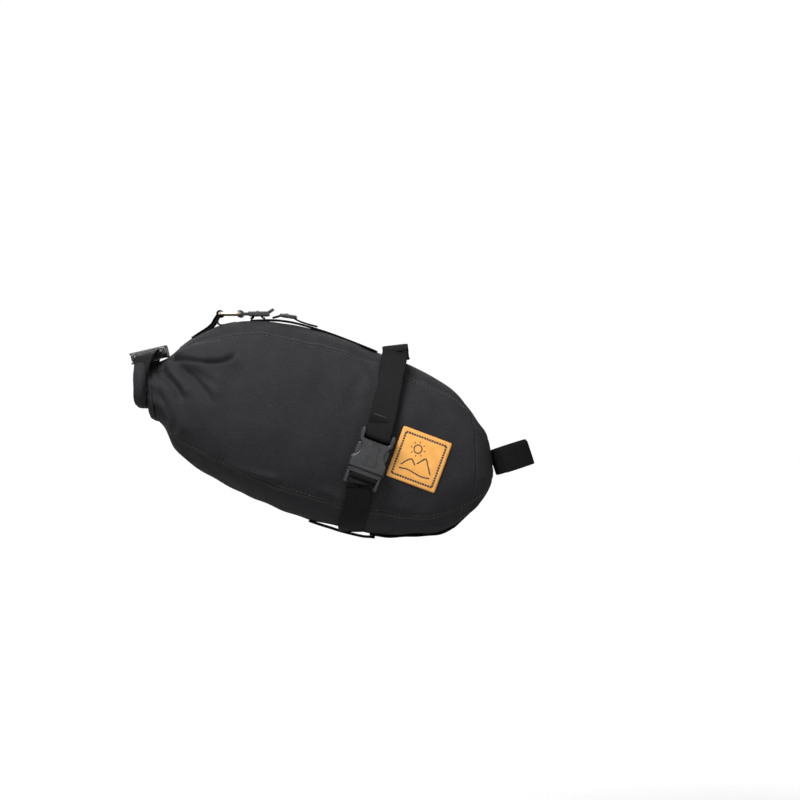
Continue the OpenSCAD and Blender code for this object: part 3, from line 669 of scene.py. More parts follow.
def leather_look():
    """Tan label leather: fine pores, warm mottling, darker rubbed edges."""
    look = Look("tan_leather", roughness=0.55, specular=0.35, sheen=0.05)
    uv, u, v = look.uv()
    pore = look.tree.nodes.new("ShaderNodeTexVoronoi")
    look.put(pore.inputs["Vector"], uv)
    pore.inputs["Scale"].default_value = 1.5
    mottle = look.noise(uv, 0.16, 5.0, 0.6)
    grain = look.noise(uv, 1.1, 4.0, 0.65)
    base = look.ramp(mottle, [(0.3, (0.47, 0.215, 0.040)), (0.7, (0.56, 0.275, 0.058))])
    base = look.mix(look.math("MULTIPLY", grain, 0.22), base, (0.38, 0.155, 0.028))
    far = look.math("MAXIMUM", look.math("ABSOLUTE", u), look.math("ABSOLUTE", v))
    rim = look.add("ShaderNodeMapRange", far, 18.4, 20.0, 0.0, 0.45).outputs[0]
    look.colour(look.mix(rim, base, (0.32, 0.135, 0.024)))
    look.rough(grain, 0.42, 0.68)
    look.bump(pore.outputs["Distance"], 0.12, 0.35)
    look.bump(grain, 0.15, 0.3)
    return look.material


def ink_look():
    look = Look("stamped_ink", roughness=0.7, specular=0.25)
    wear = look.noise(look.place(), 700.0, 5.0, 0.7)
    look.colour(look.ramp(wear, [(0.3, (0.018, 0.016, 0.020)), (0.8, (0.055, 0.045, 0.045))]))
    look.rough(wear, 0.55, 0.85)
    look.bump(wear, 0.05, 0.4)
    return look.material


def wire_look():
    """The ring's plated wire: satin, with small scratches, and a warm tone that is painted warm reflection."""
    look = Look("plated_wire", roughness=0.28, metallic=1.0)
    place = look.place()
    rub = look.noise(place, 300.0, 6.0, 0.7)
    # The warm tan colour is painted reflection; the lighter and darker rubbed patches are the wire's own.
    look.colour(look.ramp(rub, [(0.3, (0.50, 0.38, 0.24)), (0.7, (0.80, 0.66, 0.47))]))
    look.rough(rub, 0.18, 0.42)
    look.bump(rub, 0.04, 0.3)
    return look.material


def lining_look():
    look = Look("ripstop_lining", roughness=0.5, specular=0.4)
    uv, u, v = look.uv()
    across, along = (look.math("POWER", look.sine(value, 5.0), 14.0) for value in (u, v))
    grid = look.math("MAXIMUM", across, along)
    fine = look.noise(uv, 1.8)
    base = look.ramp(fine, [(0.3, (0.12, 0.125, 0.135)), (0.7, (0.17, 0.175, 0.185))])
    look.colour(look.mix(look.math("MULTIPLY", grid, 0.5), base, (0.23, 0.235, 0.245)))
    look.rough(fine, 0.4, 0.62)
    look.bump(grid, 0.15, 0.6)
    return look.material


def sheet_look():
    look = Look("polyethylene_sheet", roughness=0.45, specular=0.4)
    haze = look.noise(look.place(), 90.0, 5.0)
    look.colour(look.ramp(haze, [(0.3, (0.42, 0.42, 0.40)), (0.7, (0.55, 0.55, 0.52))]))
    look.rough(haze, 0.35, 0.6)
    look.bump(haze, 0.1, 0.2)
    return look.material


def floor_look():
    look = Look("pale_floor", roughness=0.9, specular=0.1)
    haze = look.noise(look.place(), 3.0, 2.0)
    look.colour(look.ramp(haze, [(0.3, (0.37, 0.37, 0.37)), (0.7, (0.40, 0.40, 0.40))]))
    # It fades into the white background away from the bag
    length = look.add("ShaderNodeVectorMath", look.place(), operation="LENGTH").outputs["Value"]
    far = look.add("ShaderNodeMapRange", length, 0.8, 2.2, 0.0, 0.87).outputs[0]
    look.put(look.shader.inputs["Emission Color"], (0.9, 0.9, 0.9, 1))
    look.put(look.shader.inputs["Emission Strength"], far)
    return look.material


SHELL, TAPE, WEBBING, PILE = shell_look(), tape_look(), webbing_look(), pile_look()
PLASTIC, LEATHER, INK, WIRE = plastic_look(), leather_look(), ink_look(), wire_look()
LINING, STIFF = lining_look(), sheet_look()
BLACK_THREAD = thread_look("black_thread", (0.006, 0.006, 0.0065), (0.020, 0.020, 0.021))
GREY_THREAD = thread_look("grey_thread", (0.014, 0.014, 0.015), (0.042, 0.042, 0.044))


def piece(obj, body, slot, *nodes):
    """Puts a finished piece on its body and hides the CAD nodes it stands for."""
    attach(obj, body)
    if nodes:
        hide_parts(*nodes)
    return obj


# ---------------------------------------------------------------- shell of the bag
def panel(name, xs, angles, nodes):
    x, a = np.meshgrid(xs, angles, indexing="ij")
    p = cloth_point(x, a)
    faces = grid_faces(len(xs), len(angles))
    obj = make_mesh(name, p, faces, SHELL, arc_uv(p))
    thicken(obj, 1.1)
    return piece(obj, "bag", "shell_fabric", *nodes)


BODY_X = np.concatenate([np.linspace(MOUTH_X, -236, 46), np.linspace(-234.6, -52, 132),
                         np.linspace(-50.8, NOSE_X, 18)])
NOSE_XS = NOSE_X + (TIP_X - NOSE_X) * np.sin(np.linspace(0, math.pi / 2, 22))
SIDE_A = np.linspace(LOW_SEAM, TOP_SEAM, 110)
panel("side_panel_left", BODY_X, SIDE_A, ["side_panel_left"])
panel("side_panel_right", BODY_X, 180 - SIDE_A[::-1], ["side_panel_right"])
panel("top_panel", BODY_X, np.linspace(TOP_SEAM, 180 - TOP_SEAM, 64), ["top_panel"])
panel("bottom_panel", BODY_X, np.linspace(-180 - LOW_SEAM, LOW_SEAM, 72), ["bottom_panel"])


def nose():
    angles = np.linspace(0, 360, 240, endpoint=False)
    x, a = np.meshgrid(NOSE_XS, angles, indexing="ij")
    p = cloth_point(x, a)
    rows, cols = p.shape[:2]
    tip = p[-1].mean(0) + np.array([0.25, 0, 0])
    points = np.vstack([p.reshape(-1, 3), tip])
    faces = grid_faces(rows, cols, closed=True)
    faces += [((rows - 1) * cols + j, (rows - 1) * cols + (j + 1) % cols, rows * cols) for j in range(cols)]
    uv = np.vstack([np.stack([a * 0.9, x], -1).reshape(-1, 2), [[0, TIP_X]]])
    obj = make_mesh("nose_panel", points, faces, SHELL, uv)
    thicken(obj, 1.1)
    return piece(obj, "bag", "shell_fabric", "nose_panel")


nose()


def cloth_line(xs, angle, out=0.0):
    """Points of the finished cloth along one angle, and the outward directions there."""
    spread = np.array([-1.5, 0, 1.5])
    x, a = np.meshgrid(xs, angle + spread, indexing="ij")
    p = cloth_point(x, a)
    n = grid_normals(p)[:, 1]
    mid = p[:, 1]
    centre = np.stack([mid[:, 0], 0 * xs, mid_z(xs)], -1)
    n = n * np.sign((n * (mid - centre)).sum(-1, keepdims=True))
    return mid + n * out, n


SEAM_XS = np.concatenate([np.linspace(-275.5, -36, 120),
                          -36 + 13.2 * np.sin(np.linspace(0.1, math.pi / 2, 16))])


def seam(name, angle, node):
    """A lapped, bound seam: a thin flat edge with a row of stitches beside it."""
    line, n = cloth_line(SEAM_XS, angle, -0.35)
    tape = strap(name, line, n, TAPE, width=2.6, thickness=0.8, step=1.2)
    piece(tape, "bag", "binding_tape", node)
    shift = 3.4 if angle in (TOP_SEAM, LOW_SEAM) else -3.4
    shift = -shift if angle in (TOP_SEAM, 180 - TOP_SEAM) else shift
    row = cloth_line(SEAM_XS[:-4], angle + shift, 0.02)
    thread = stitches(name + "_stitching", [row], BLACK_THREAD, pitch=3.4, length=2.4, radius=0.2)
    piece(thread, "bag", "binding_tape")


seam("top_binding_left", TOP_SEAM, "top_binding_left")
seam("top_binding_right", 180 - TOP_SEAM, "top_binding_right")
seam("bottom_binding_left", LOW_SEAM, "bottom_binding_left")
seam("bottom_binding_right", 180 - LOW_SEAM, "bottom_binding_right")


def ring_cloth(name, xs, out, material, slot, node, pleat=0.0, thickness=0.5):
    """A closed cloth tube inside the bag."""
    angles = np.linspace(0, 360, 160, endpoint=False)
    x, a = np.meshgrid(xs, angles, indexing="ij")
    p = skin(x, a, out)
    n = unit(p - np.stack([x, 0 * x, mid_z(x)], -1))
    stands_out = relief(x, a)
    pleats = pleat * waves(x, a * 0.9, 6, 12, 34, 21)
    p = p + n * (np.minimum(stands_out * 0.6, stands_out * 1.15) - 0.3 + pleats)[..., None]
    rows, cols = p.shape[:2]
    uv = np.stack([x - xs[0], a * 0.9], -1)
    obj = make_mesh(name, p, grid_faces(rows, cols, closed=True), material, uv)
    thicken(obj, thickness)
    return piece(obj, "bag", slot, node)


ring_cloth("mouth_hem", np.linspace(MOUTH_X + 0.2, MOUTH_X + 8, 8), -1.5, SHELL, "shell_fabric", "mouth_hem",
           thickness=0.8)
LINER_XS = np.concatenate([np.linspace(MOUTH_X + 6, -230, 26), np.linspace(-227, -40, 70)])
ring_cloth("inner_liner", LINER_XS, -3.6, LINING, "lining", "inner_liner", pleat=0.5)


def stiff_sheet(node, xs, angles):
    """A thin plastic sheet that lies just inside the cloth."""
    x, a = np.meshgrid(xs, angles, indexing="ij")
    p = cloth_point(x, a)
    n = grid_normals(p)
    n *= np.sign((n * (p - np.stack([p[..., 0], 0 * x, mid_z(x)], -1))).sum(-1, keepdims=True) + 1e-9)
    p = p - n * 1.7
    obj = make_mesh(node, p, grid_faces(len(xs), len(angles)), STIFF, arc_uv(p))
    thicken(obj, 0.9)
    return piece(obj, "bag", "stiffener", node)


BASE_LOW, BASE_HIGH = (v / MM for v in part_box("base_stiffener"))
NOSE_LOW, NOSE_HIGH = (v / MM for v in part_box("nose_stiffener"))
stiff_sheet("base_stiffener", np.linspace(BASE_LOW[0], BASE_HIGH[0], 60), np.linspace(-126, -54, 40))
stiff_sheet("nose_stiffener", np.linspace(NOSE_LOW[0], NOSE_HIGH[0], 16), np.linspace(-34, 214, 90))


# ---------------------------------------------------------------- label
LABEL_MID = (-72, -1)
LABEL_TURN = math.radians(20.5)
LABEL_HALF = 20


def on_label(u, v, out):
    """A point on the label from its own u and v, right side of the bag."""
    x = LABEL_MID[0] + u * math.cos(LABEL_TURN) + v * math.sin(LABEL_TURN)
    z = LABEL_MID[1] + v * math.cos(LABEL_TURN) - u * math.sin(LABEL_TURN)
    return side_point(np.asarray(x, float), np.asarray(z, float), -1, out)


def label():
    n, r = 40, 1.6
    t = np.linspace(-1, 1, n)
    u, v = np.meshgrid(t * LABEL_HALF, t * LABEL_HALF, indexing="ij")
    corner = LABEL_HALF - r
    over_u, over_v = np.maximum(np.abs(u) - corner, 0), np.maximum(np.abs(v) - corner, 0)
    reach = np.hypot(over_u, over_v)
    pull = np.where((over_u > 0) & (over_v > 0) & (reach > r), r / np.maximum(reach, 1e-6), 1)
    u = np.sign(u) * (np.minimum(np.abs(u), corner) + over_u * pull)
    v = np.sign(v) * (np.minimum(np.abs(v), corner) + over_v * pull)
    edge = np.maximum(np.abs(u), np.abs(v))
    lift = 1.5 - 0.35 * np.clip((edge - 18.8) / 1.2, 0, 1) ** 2 - 0.18 * bump_at(edge, 16.4, 0.9)
    p = on_label(u, v, lift)
    obj = make_mesh("label_patch", p, grid_faces(n, n), LEATHER, np.stack([u, v], -1))
    thicken(obj, 1.1, offset=1)
    return piece(obj, "bag", "label", "label_patch")


def ink_line(points, width, out=1.52, closed=False):
    """A flat stamped line on the label, through (u, v) points."""
    line = spline(np.array([(*q, 0) for q in points], float), 0.5, closed)[:, :2]
    if closed:
        line = np.vstack([line, line[:1]])
    t = unit(np.gradient(line, axis=0))
    side = np.stack([-t[:, 1], t[:, 0]], -1) * width / 2
    left, right = line + side, line - side
    a, b = on_label(left[:, 0], left[:, 1], out), on_label(right[:, 0], right[:, 1], out)
    c, d = on_label(right[:, 0], right[:, 1], out - 0.2), on_label(left[:, 0], left[:, 1], out - 0.2)
    rows = np.stack([a, b, c, d], 1)
    count = len(line)
    faces = grid_faces(count, 4, closed=True) + [(3, 2, 1, 0), tuple((count - 1) * 4 + k for k in range(4))]
    return rows.reshape(-1, 3), faces


def label_art():
    """A plain stamped frame of dashes, and hills under a sun."""
    parts = []
    inner = 16.4
    for side in range(4):
        c, s = [(1, 0), (0, 1), (-1, 0), (0, -1)][side]
        for start in np.arange(-inner, inner - 0.5, 2.05):
            end = min(start + 1.55, inner)
            a, b = np.array([start, inner]), np.array([end, inner])
            turn = np.array([[c, -s], [s, c]])
            parts.append(ink_line([turn @ a, turn @ (a + b) / 2, turn @ b], 1.5))
    hills = [[(-12, -8), (-8.5, -3.6), (-5.5, -1.6), (-3, -3.6), (-1.6, -5.2)],
             [(-0.4, -3.6), (2, -0.6), (5, 2), (8.5, -3), (12, -8)],
             [(-12.5, -10.8), (-6, -9.9), (0, -10.8), (6, -11.6), (12.5, -10.8)]]
    parts += [ink_line(h, 1.0) for h in hills]
    turns = np.linspace(0, 2 * math.pi, 14, endpoint=False)
    sun = [(-3.5 + 3.1 * math.cos(a), 7 + 3.1 * math.sin(a)) for a in turns]
    parts.append(ink_line(sun, 0.9, closed=True))
    for k in range(8):
        a = 2 * math.pi * k / 8
        parts.append(ink_line([(-3.5 + r * math.cos(a), 7 + r * math.sin(a)) for r in (4.6, 5.3, 6.0)], 0.7))
    verts, faces = [], []
    for v, f in parts:
        faces += [tuple(k + len(verts) for k in face) for face in f]
        verts += v.tolist()
    obj = make_mesh("label_art", verts, faces, INK, np.array(verts)[:, [0, 2]], smooth=False)
    return piece(obj, "bag", "label")


label()
label_art()


# ---------------------------------------------------------------- webbing under and in front of the bag
def plane_strap(name, route, outward_down, material, body, slot, nodes, **look):
    """Webbing in the middle plane, from (x, z) points."""
    pts = spline([(x, 0, z) for x, z in route], 3)
    t = unit(np.gradient(pts, axis=0))
    n = np.cross(t, [0, 1, 0]) * outward_down
    obj = strap(name, pts, n, material, across=(0, 1, 0), **look)
    return piece(obj, body, slot, *nodes)


SPINE_FRONT = [(-30, -39.2), (-24, -32.6), (-19, -24.6), (-16.6, -17), (-18.6, -8), (-21, -0.8)]
under_line = cloth_line(np.linspace(-110, -44, 34), -90.0)[0]
spine_route = [(q[0], q[2] + 0.4) for q in under_line] + SPINE_FRONT
plane_strap("bottom_spine", spine_route, 1, WEBBING, "bag", "webbing", ["bottom_spine"])
# How far the loop hangs below the cloth, by x; it goes over the strap that crosses under the bag
LOOP_DROP = [(-157, -0.2), (-152, 0.4), (-146, 1.4), (-139, 2.2), (-134, 2.6), (-124, 2.7), (-115, 2.7),
             (-110, 1.9), (-106, 1.7)]
loop_xs, loop_drops = np.array(LOOP_DROP, float).T
SPINE_LOOP = [(q[0], q[2] - drop) for q, drop in zip(cloth_line(loop_xs, -90.0)[0], loop_drops)]
plane_strap("spine_loop", SPINE_LOOP, 1, WEBBING, "bag", "webbing", ["spine_loop"])


def post_ring(radius, start, end, count):
    a = np.radians(np.linspace(start, end, count))
    local = np.stack([radius * np.cos(a), radius * np.sin(a), 0 * a], -1)
    return post_place(local), post_place(np.stack([np.cos(a), np.sin(a), 0 * a], -1))


POST_UP = post_place(np.array([0, 0, 1.0]))


def seatpost_band():
    """The hook-and-loop band: a strip that bends at its left side, and a lapped end on the flap."""
    ring, out = post_ring(POST_R + 0.05, 248, -72, 90)
    band = strap("seatpost_band", ring, out, PILE, width=WEB_W, thickness=2.4, step=1.0, across=-POST_UP)
    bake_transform(band)
    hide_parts("seatpost_strap", "seatpost_flap")
    lap, out = post_ring(POST_R + 2.55, -112, -38, 40)
    lift = np.concatenate([np.linspace(0.25, 0, 12), np.zeros(28)])[:, None]
    tab = strap("seatpost_lap", lap + out * lift - POST_UP * 0.6, out, PILE, width=WEB_W - 1,
                thickness=1.9, step=1.0, across=-POST_UP)
    piece(tab, "seatpost_flap", "hook_and_loop")


seatpost_band()


# ---------------------------------------------------------------- top strap and its hardware
RING_Z, RING_REAR_X, RING_FRONT_X, WIRE_R = 111.6, -226.6, -211, 1.3


def loop_route(centre, radius, start, end, count=16):
    a = np.radians(np.linspace(start, end, count))
    return [(centre[0] + radius * math.cos(t), centre[1] + radius * math.sin(t)) for t in a]


# Two layers of webbing that lie on the fabric, then wrap the ring's rear bar
anchor = [(-258, 85.4), (-250, 91.4), (-244, 95.2), (-238, 98.8), (-233.2, 102.2), (-230.4, 106.2)]
anchor += loop_route((RING_REAR_X, RING_Z), WIRE_R + 0.15, 200, -100, 16)
plane_strap("top_anchor", anchor, -1, WEBBING, "bag", "webbing", ["top_anchor"], thickness=1.6, step=0.8)
anchor = [(-249, 93.4), (-243, 97.4), (-237.4, 101), (-233.6, 104.4), (-231.8, 107.6)]
anchor += loop_route((RING_REAR_X, RING_Z), WIRE_R + 1.7, 190, -110, 18)
anchor += [(-228.6, 105.8), (-226.6, 103.6), (-222, 103.9)]
plane_strap("top_anchor_wrap", anchor, -1, WEBBING, "bag", "webbing", [], thickness=1.2, step=0.8)
frame["nodes"]["top_ring"].data.materials.clear()
frame["nodes"]["top_ring"].data.materials.append(WIRE)


def ladder_lock():
    """The adjuster: an eye, a frame with three bars and a lifted thumb tab. Local z is along the bag."""
    def place(local):
        q = np.asarray(local)
        return np.stack([q[:, 2], q[:, 0], q[:, 1] + RING_Z], -1)
    x0, x1, half, t = -204.5, -188.5, 12, 1.8
    parts = []
    turns = np.linspace(0, 2 * math.pi, 28, endpoint=False)
    eye = [(RING_FRONT_X + 2.9 * math.cos(a), 2.9 * math.sin(a)) for a in turns]
    v, f = round_plate(eye, -10, 10, 0.5)
    parts.append(([(q[1], q[2], q[0]) for q in v], f))
    parts.append(round_plate(box_outline(-8.5, 8.5, RING_FRONT_X + 1.5, x0 + 1), -1.1, 1.1, 0.5))
    for sx in (-1, 1):
        low, high = sorted((sx * half, sx * (half - 2)))
        parts.append(round_plate(box_outline(low, high, x0, x1, 0.9), -t, t, 0.7))
    for z in (x0, x0 + 6.6, x1 - 2.8):
        parts.append(round_plate(box_outline(-half + 0.6, half - 0.6, z, z + 2.8, 0.8), -t, t, 0.8))
    tab = round_plate(box_outline(-9, 9, 0, 6.4, 2.2, 8), -0.9, 0.9, 0.7)
    tilt = turn_matrix(-34, 0, 0)
    tab = ([tuple(tilt @ np.array(q) + np.array([0, 0.2, x1 - 1.8])) for q in tab[0]], tab[1])
    parts.append(tab)
    for k in range(3):
        rib = bar(-7.5, 7.5, 2.4 + 1.3 * k, 0.35, 0.85)
        parts.append(([tuple(tilt @ np.array(q) + np.array([0, 0.2, x1 - 1.8])) for q in rib[0]], rib[1]))
    obj = assemble("ladder_lock", parts, place, PLASTIC)
    return piece(obj, "ladder_lock", "buckle_plastic", "ladder_lock")


ladder_lock()


def top_slider():
    turn = turn_matrix(0, 8, 0)

    def place(local):
        q = np.asarray(local)
        return np.stack([q[:, 2], q[:, 0], q[:, 1]], -1) @ turn.T + np.array([-173.5, 0, 109.7])
    parts = []
    for sx in (-1, 1):
        low, high = sorted((sx * 12, sx * 10.2))
        parts.append(round_plate(box_outline(low, high, -6.5, 6.5, 0.9), -1.3, 1.3, 0.8))
    for z in (-6.5, -1.2, 4.1):
        parts.append(round_plate(box_outline(-11.4, 11.4, z, z + 2.4, 1.0), -1.3, 1.3, 0.9))
    return piece(assemble("top_slider", parts, place, PLASTIC), "bag", "buckle_plastic", "top_slider")


top_slider()
TOP_STRAP = [(-203, 107.0), (-196, 107.3), (-188, 107.5), (-179, 107.0), (-168, 105.2), (-155, 101.6),
             (-140, 96.8), (-122, 90), (-110, 85.2), (-104, 82.6)]


def top_strap():
    pts = spline([(x, 0, z) for x, z in TOP_STRAP], 3)
    t = unit(np.gradient(pts, axis=0))
    n = -np.cross(t, [0, 1, 0])
    low = strap("top_strap", pts, n, WEBBING, across=(0, 1, 0))
    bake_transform(low)
    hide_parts("top_strap")
    turn_over = [(-203.2, 108.4), (-201.8, 109.4), (-200, 112.6), (-197.2, 114), (-194.6, 112.4),
                 (-193.6, 109.4), (-192, 108.9)]
    plane_strap("top_strap_turn", turn_over, -1, WEBBING, "ladder_lock", "webbing", [], step=0.8, thickness=1.3)
    tail = [(-186, 109.2), (-182, 110.2), (-177.6, 111.6), (-173.6, 111.6), (-170, 109.4), (-164, 106.2),
            (-156, 103.6), (-151, 102.4)]
    plane_strap("top_strap_tail", tail, -1, WEBBING, "bag", "webbing", [], step=1.0, thickness=1.3)


top_strap()


# ---------------------------------------------------------------- side-release buckles
FEMALE = [(13.2, -15.5), (13.9, -14.4), (13.9, -9.8), (13.1, -7.3), (10.8, -4.2), (9.7, -1.5), (9.7, 1.5),
          (10.8, 4.2), (12.7, 6.6), (13.4, 9), (13.6, 13), (12.9, 15.4), (11.8, 15.8), (10.8, 14.8), (10.5, 11),
          (10.2, 8.4), (7, 7.7)]
HORN = [(11.2, 4.6), (12.7, 6.8), (13.4, 9), (13.6, 13), (12.9, 15.4), (11.8, 15.8), (10.8, 14.8), (10.6, 10)]
PRONG = [(7.8, -14.2), (9.4, -14.2), (9.9, -8.4), (12.0, -5.8), (12.75, -4), (12.75, 2), (11.6, 4.2), (9, 4.6),
         (8.3, 0), (8.2, -7)]


def female_parts():
    outline = soft_outline(mirrored(FEMALE))
    parts = [round_plate(outline, 2.9, 4.5, 0.9), round_plate(outline, -4.5, -2.9, 0.9)]
    for sx in (-1, 1):
        horn = soft_outline([(sx * x, z) for x, z in HORN], 0.6)
        parts.append(round_plate(horn, -3.9, 3.9, 1.1))
        low, high = sorted((sx * 12.9, sx * 13.85))
        parts.append(round_plate(box_outline(low, high, -15.3, -9, 0.4), -4, 4, 0.4))
    parts.append(round_plate(box_outline(-11.4, 11.4, 4.8, 7.6, 0.8), -3.9, 3.9, 0.8))
    parts.append(bar(-11, 11, 12, 1.6))
    # A raised panel on the front
    badge = soft_outline(mirrored([(4.6, -11.5), (6.2, -8), (4.2, -2), (4.6, 4), (3, 5.6)]))
    parts.append(round_plate(badge, 4.1, 4.85, 0.5))
    return parts


def male_parts():
    parts = [round_plate(box_outline(-13.5, 13.5, -18.5, -15.9, 0.9), -4.1, 4.1, 1.1)]
    parts.append(round_plate(box_outline(-2.2, 2.2, -16.2, 5, 0.8), -2.9, 2.9, 0.6))
    parts.append(round_plate(box_outline(-11, 11, -16.2, -14.2, 0.3), -2.9, 2.9, 0.3))
    for sx in (-1, 1):
        low, high = sorted((sx * 10.7, sx * 13.5))
        parts.append(round_plate(box_outline(low, high, -28.6, -16.2, 1.2), -2.8, 2.8, 1.1))
    parts.append(bar(-11.6, 11.6, -21.6, 1.6))
    parts.append(bar(-11.6, 11.6, -27, 1.6))
    parts.append(round_plate(box_outline(-11.4, 11.4, -19.3, -17.6, 0.6), 1.6, 4.1, 0.6))
    return parts


def prong_parts(side):
    outline = soft_outline([(side * x, z) for x, z in PRONG], 0.6)
    parts = [round_plate(outline, -2.9, 2.9, 0.7)]
    for k in range(4):
        z = -3.6 + 1.5 * k
        v, f = bar(-2.2, 2.2, 0, 0.35)
        parts.append(([(side * 12.75 + q[1] * 0.6, q[0], z + q[2]) for q in v], f))
    return parts


def buckle(place, names, bodies, nodes):
    """names, bodies and nodes each list the socket, the plug, the front prong and the rear prong."""
    builds = [female_parts(), male_parts(), prong_parts(1), prong_parts(-1)]
    for name, body, node, parts in zip(names, bodies, nodes, builds):
        piece(assemble(name, parts, place, PLASTIC), body, "buckle_plastic", node)


for side_name, side in (("right", -1), ("left", 1)):
    nodes = [f"{part}_{side_name}" for part in ("side_female", "side_male", "prong_front", "prong_rear")]
    buckle(side_place(side), nodes, ["bag", *nodes[1:]], nodes)
roll_nodes = ["roll_female", "roll_male", "roll_prong_front", "roll_prong_rear"]
buckle(roll_place, roll_nodes, ["closure", *roll_nodes[1:]], roll_nodes)


# ---------------------------------------------------------------- side straps
RAIL = np.array(RAIL_MOUNT["pos_m"]) / MM
RAIL_UP = np.array([-RAIL_MOUNT["axis"][2], 0, RAIL_MOUNT["axis"][0]])
RAIL_LOOP_R = RAIL_MOUNT["dims"]["r_mm"] + 0.1


def bar_loop(place, z, start, end, radius=1.75, count=14):
    """Webbing round a buckle's bar: points and outward directions."""
    a = np.radians(np.linspace(start, end, count))
    local = np.stack([0 * a, radius * np.cos(a), z + radius * np.sin(a)], -1)
    direction = np.stack([0 * a, np.cos(a), np.sin(a)], -1)
    pts = place(local)
    return pts, place(local + direction) - pts


def side_straps(name, side):
    place = side_place(side)
    flip = np.array([1, side, 1])
    pts, outs = [], []
    for x, y, lift in ((-89, 2.5, 0.6), (-89, 8, 0.6)):
        z = float(profile(np.array(float(x)), 2))
        pts.append(np.array([x, y, z + lift - y * 0.06]) * flip)
        outs.append(np.array([0, 0.05, 1]) * flip)
    pts.append(np.array([-89.6, 14.6, 77.6]) * flip)
    outs.append(np.array([0, -0.5, 0.9]) * flip)
    for a in np.radians(np.linspace(165, -12, 12)):
        direction = np.array([0, 1, 0]) * math.cos(a) + RAIL_UP * math.sin(a)
        pts.append((RAIL + direction * RAIL_LOOP_R) * flip)
        outs.append(direction * flip)
    top_x, top_z = np.array(-93.6), np.array(61.0)
    landing = side_point(top_x, top_z, side, 1) - side_point(top_x, top_z, side, 0)
    for x, y, z, share in ((-91.2, 28.9, 76, 0.3), (-92.2, 32.6, 69, 0.7)):
        pts.append(np.array([x, y, z]) * flip)
        outs.append(unit(np.array([0, 1, 0.35]) * flip * (1 - share) + unit(landing) * share))
    for x, z, out in ((-93.6, 61, 2.1), (-95.6, 50, 2.0), (-97.8, 38, 2.4), (-99.9, 28.5, 3.4)):
        here = side_point(np.array(x), np.array(z), side, out)
        pts.append(here)
        outs.append(side_point(np.array(x), np.array(z), side, out + 1) - here)
    loop, out = bar_loop(place, 12, 80, -100)
    for p, o in zip(loop, out):
        pts.append(p)
        outs.append(o)
    upper = strap(f"upper_strap_{name}", pts, outs, WEBBING, step=1.2)
    piece(upper, "bag", "webbing", f"upper_strap_{name}")
    # The folded end, sewn back on the inner face, with its bar tack
    fold_pts = place(np.array([[0, -2.2, 11.6], [0, -3.0, 15.5], [0, -2.6, 21], [0, -2.2, 26]]))
    fold_out = [place(np.array([[0, -1.0, z]]))[0] - place(np.array([[0, 0.0, z]]))[0]
                for z in (11, 15, 21, 26)]
    folded_end = strap(f"upper_strap_end_{name}", fold_pts, fold_out, WEBBING, step=1.2, thickness=1.3)
    piece(folded_end, "bag", "webbing")
    rows = []
    for z in (24.2, 26.0):
        line = np.array([[x, 0, z] for x in np.linspace(-8.6, 8.6, 12)])
        on_strap = tack_points(place, line, side)
        rows.append(on_strap)
    tack = stitches(f"upper_strap_tack_{name}", rows, GREY_THREAD, pitch=2.0, length=1.7, radius=0.3)
    piece(tack, "bag", "webbing")
    # From the male half's bars to the lower edge of the bag
    low_pts, low_outs = [], []
    for z, y in ((-18.6, 1.0), (-20.0, 2.9), (-21.6, 2.5), (-23.4, 0.6), (-24.9, 0.6)):
        low_pts.append(place(np.array([[0, y, z]]))[0])
        low_outs.append(place(np.array([[0, y + 1, z + (0.5 if z > -21 else 0)]]))[0] - low_pts[-1])
    loop, out = bar_loop(place, -27, 70, -60, count=8)
    low_pts += list(loop)
    low_outs += list(out)
    for x, z, o in ((-119.2, -33.5, 2.9), (-121.0, -41, 1.2), (-122.8, -47.5, 0.6), (-123.6, -51.5, 0.6)):
        here = side_point(np.array(x), np.array(z), side, o)
        low_pts.append(here)
        low_outs.append(side_point(np.array(x), np.array(z), side, o + 1) - here)
    lower = strap(f"lower_strap_{name}", low_pts, low_outs, WEBBING, step=1.0)
    end = place(np.array([[0, 0, -29.5]]))[0] * MM
    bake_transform(lower)
    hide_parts(f"lower_strap_{name}")


def tack_points(place, line, side):
    """Stitches across the upper strap, level with points given in the buckle's axes."""
    pts, outs = [], []
    for q in place(line):
        here = side_point(q[[0]], q[[2]], side, 0)[0]
        outward = unit(side_point(q[[0]], q[[2]], side, 1)[0] - here)
        out = np.interp(q[2], [19, 28.5, 38], [5.6, 3.4, 2.4]) + WEB_T + 0.05
        pts.append(here + outward * out)
        outs.append(outward)
    return np.array(pts), np.array(outs)


side_straps("right", -1)
side_straps("left", 1)


def under_strap():
    x = np.array(-124.5)
    angle = float(np.degrees(np.arcsin(signed_power((-50.5 - mid_z(x)) / half_h(x), POWER / 2))))
    angles = np.linspace(angle, -180 - angle, 30)
    pts = [skin(-124.5, a, 0.6) for a in angles]
    outs = [skin(-124.5, a, 1.6) - skin(-124.5, a, 0.6) for a in angles]
    piece(strap("under_strap", pts, outs, WEBBING), "bag", "webbing", "under_strap")


under_strap()

# ---------------------------------------------------------------- roll top
# Each ring of the folded cloth: x, share of the mouth's lean, low edge, top edge, half width
FOLD_RINGS = [(-276.9, 1, 27.8, 71.6, 46.4), (-278.6, 0.55, 28.8, 72, 46.4), (-280.2, 0.1, 31.5, 71.4, 45),
              (-280.7, 0, 38, 70.6, 42.5), (-280.9, 0, 46, 70, 39), (-281.4, 0, 52.6, 69.6, 36.4),
              (-283.2, 0, 53.6, 68.6, 35.2), (-284.6, 0, 55, 67, 33.4)]
FOLD_POWER = 2.6


